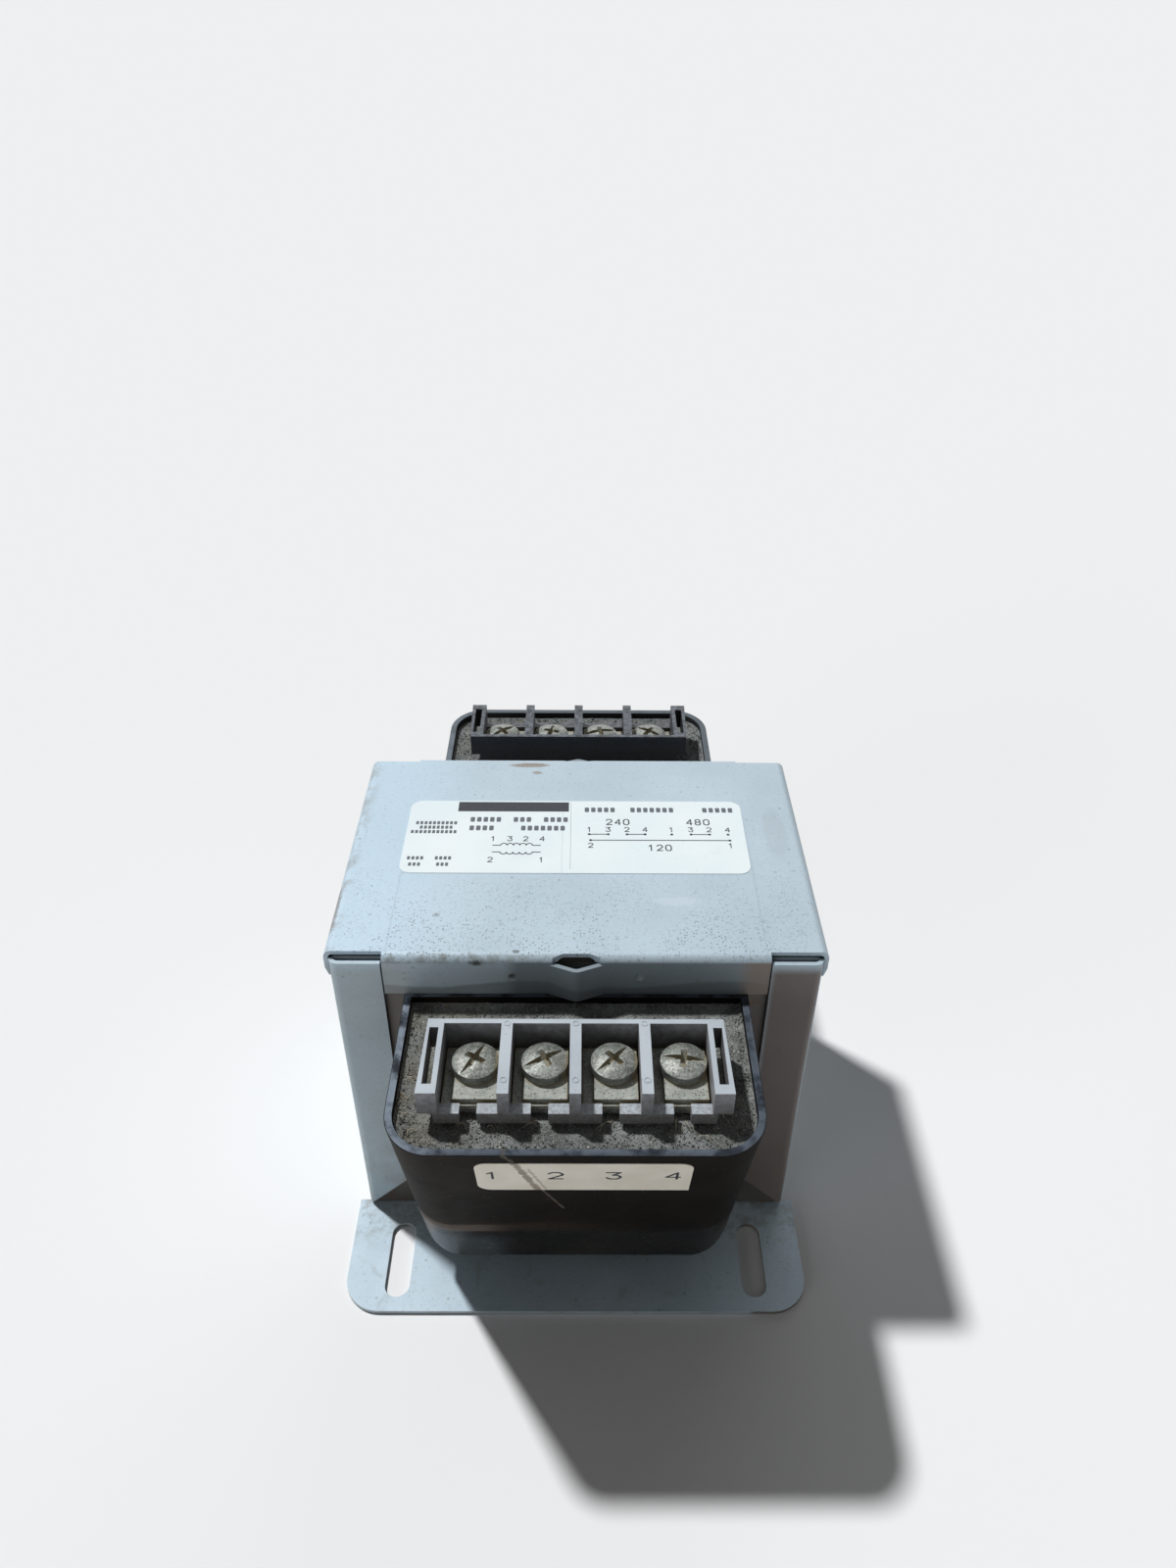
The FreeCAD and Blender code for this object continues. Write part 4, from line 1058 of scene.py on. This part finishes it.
def fibre_path(sign, u, out, arch, rng):
    """Points along one bent fibre that lies near a place and rises in its middle."""
    heading = rng.uniform(0, 2 * math.pi)
    length = rng.uniform(*FIBRE_LENGTHS)
    bend = rng.uniform(-FIBRE_BEND, FIBRE_BEND)
    middle_u = u + rng.uniform(-FIBRE_SCATTER[0], FIBRE_SCATTER[0])
    middle_out = out + rng.uniform(-FIBRE_SCATTER[1], FIBRE_SCATTER[1])
    path = []
    for k in range(FIBRE_STEPS):
        t = k / (FIBRE_STEPS - 1) - 0.5
        turn = heading + bend * t
        place_u = middle_u + length * t * math.cos(turn)
        place_out = middle_out + FIBRE_FLATTEN * length * t * math.sin(turn)
        lift = FIBRE_LIFT + (1 - 4 * t * t) * arch
        path.append(Vector((-sign * place_u, sign * place_out, CRUST_LEVEL + lift)))
    return path


def lint_fibres(side, sign, seed):
    rng = random.Random(seed)
    points = []
    faces = []
    for u, out, arch in FIBRE_PLACES:
        for strand in range(FIBRE_STRANDS):
            tube_along(points, faces, fibre_path(sign, u, out, arch, rng), FIBRE_RADIUS)
    piece(f"{side}_lint", mesh_of("lint", points, faces), lint)


# Each side's name, its sign along Y and the seed of its random shapes; the offsets keep the kinds apart
SIDES = (("secondary", -1, 3), ("primary", 1, 7))
CRUMB_SEED = 20
LINT_SEED = 40

cover_label()
marking_strip()
for side, sign, seed in SIDES:
    potting_crust(side, sign, seed)
    potting_crumbs(side, sign, seed + CRUMB_SEED)
    block_marks(side, sign)
    lint_fibres(side, sign, seed + LINT_SEED)


# Floor, light and camera

# The floor and the clip distances are in metres, and the camera's place and lens in millimetres
FLOOR_HALF = 30.0
FLOOR_DROP = 0.0002
STAGE_COLOUR = srgb(240, 241, 242)
WORLD_LIGHT = 0.085
BACKGROUND = 0.97
# Distant lamps: direction from the object, strength and apparent width in degrees
SUNS = {
    "key": ((-0.44, 0.36, 1.0), 3.0, 4),
    "fill": ((-0.8, -0.75, 0.16), 0.58, 30),
    "rear_fill": ((0.2, 0.95, 0.4), 0.35, 40),
}


def stage_floor():
    corners = [(x * FLOOR_HALF, y * FLOOR_HALF, -FLOOR_DROP) for x, y in ((-1, -1), (1, -1), (1, 1), (-1, 1))]
    mesh = bpy.data.meshes.new("floor")
    mesh.from_pydata(corners, [], [(0, 1, 2, 3)])
    floor = new_object("floor", mesh)
    material = bpy.data.materials.new("floor")
    material.use_nodes = True
    shader = material.node_tree.nodes["Principled BSDF"]
    for key, value in (("Base Color", STAGE_COLOUR), ("Roughness", 1.0), ("Specular IOR Level", 0.0)):
        shader.inputs[key].default_value = value
    mesh.materials.append(material)


def sun(name, towards, strength, width):
    lamp = set_up(bpy.data.lights.new(name, "SUN"), energy=strength, angle=math.radians(width))
    turn = Vector(towards).to_track_quat("Z", "Y")
    set_up(new_object(name, lamp), rotation_mode="QUATERNION", rotation_quaternion=turn)


def studio_world():
    """Even dim light, behind which a white background shows to the camera and in reflections."""
    world = bpy.data.worlds.new("studio")
    world.use_nodes = True
    tree = world.node_tree
    rays = tree.nodes.new("ShaderNodeLightPath")
    seen = rays.outputs["Is Camera Ray"]
    for kind in ("Is Glossy Ray", "Is Transmission Ray"):
        either = set_up(tree.nodes.new("ShaderNodeMath"), operation="ADD", use_clamp=True)
        tree.links.new(seen, either.inputs[0])
        tree.links.new(rays.outputs[kind], either.inputs[1])
        seen = either.outputs[0]
    strength = tree.nodes.new("ShaderNodeMapRange")
    strength.inputs["To Min"].default_value = WORLD_LIGHT
    strength.inputs["To Max"].default_value = BACKGROUND
    tree.links.new(seen, strength.inputs["Value"])
    sky = tree.nodes["Background"]
    sky.inputs["Color"].default_value = (1.0, 1.0, 1.0, 1.0)
    tree.links.new(strength.outputs["Result"], sky.inputs["Strength"])
    bpy.context.scene.world = world


stage_floor()
for name, (towards, strength, width) in SUNS.items():
    sun(name, towards, strength, width)
studio_world()
bpy.context.scene.view_settings.view_transform = "Standard"

CAMERA_PLACE = (0.98, -191.4, 238.6)
CAMERA_YAW = 0.37
CAMERA_PITCH = 35.97
CAMERA_ROLL = -0.44
LENS = 25.875
SENSOR = 36.0
NEAR = 0.01
FAR = 100


def photo_camera():
    """Camera solved from the photograph: yaw and pitch of its axis, then a roll about it."""
    yaw, pitch, roll = (math.radians(a) for a in (CAMERA_YAW, CAMERA_PITCH, CAMERA_ROLL))
    ahead = Vector((math.sin(yaw) * math.cos(pitch), math.cos(yaw) * math.cos(pitch), -math.sin(pitch)))
    right = Vector((math.cos(yaw), -math.sin(yaw), 0))
    down = ahead.cross(right)
    image_x = math.cos(roll) * right + math.sin(roll) * down
    image_y = -math.sin(roll) * right + math.cos(roll) * down
    turn = Matrix((image_x, -image_y, -ahead)).transposed()
    data = set_up(bpy.data.cameras.new("camera"), lens=LENS, sensor_fit="VERTICAL", sensor_width=SENSOR,
                  sensor_height=SENSOR, clip_start=NEAR, clip_end=FAR)
    camera = new_object("camera", data)
    camera.matrix_world = Matrix.Translation(Vector(CAMERA_PLACE) * MM) @ turn.to_4x4()
    bpy.context.scene.camera = camera


photo_camera()
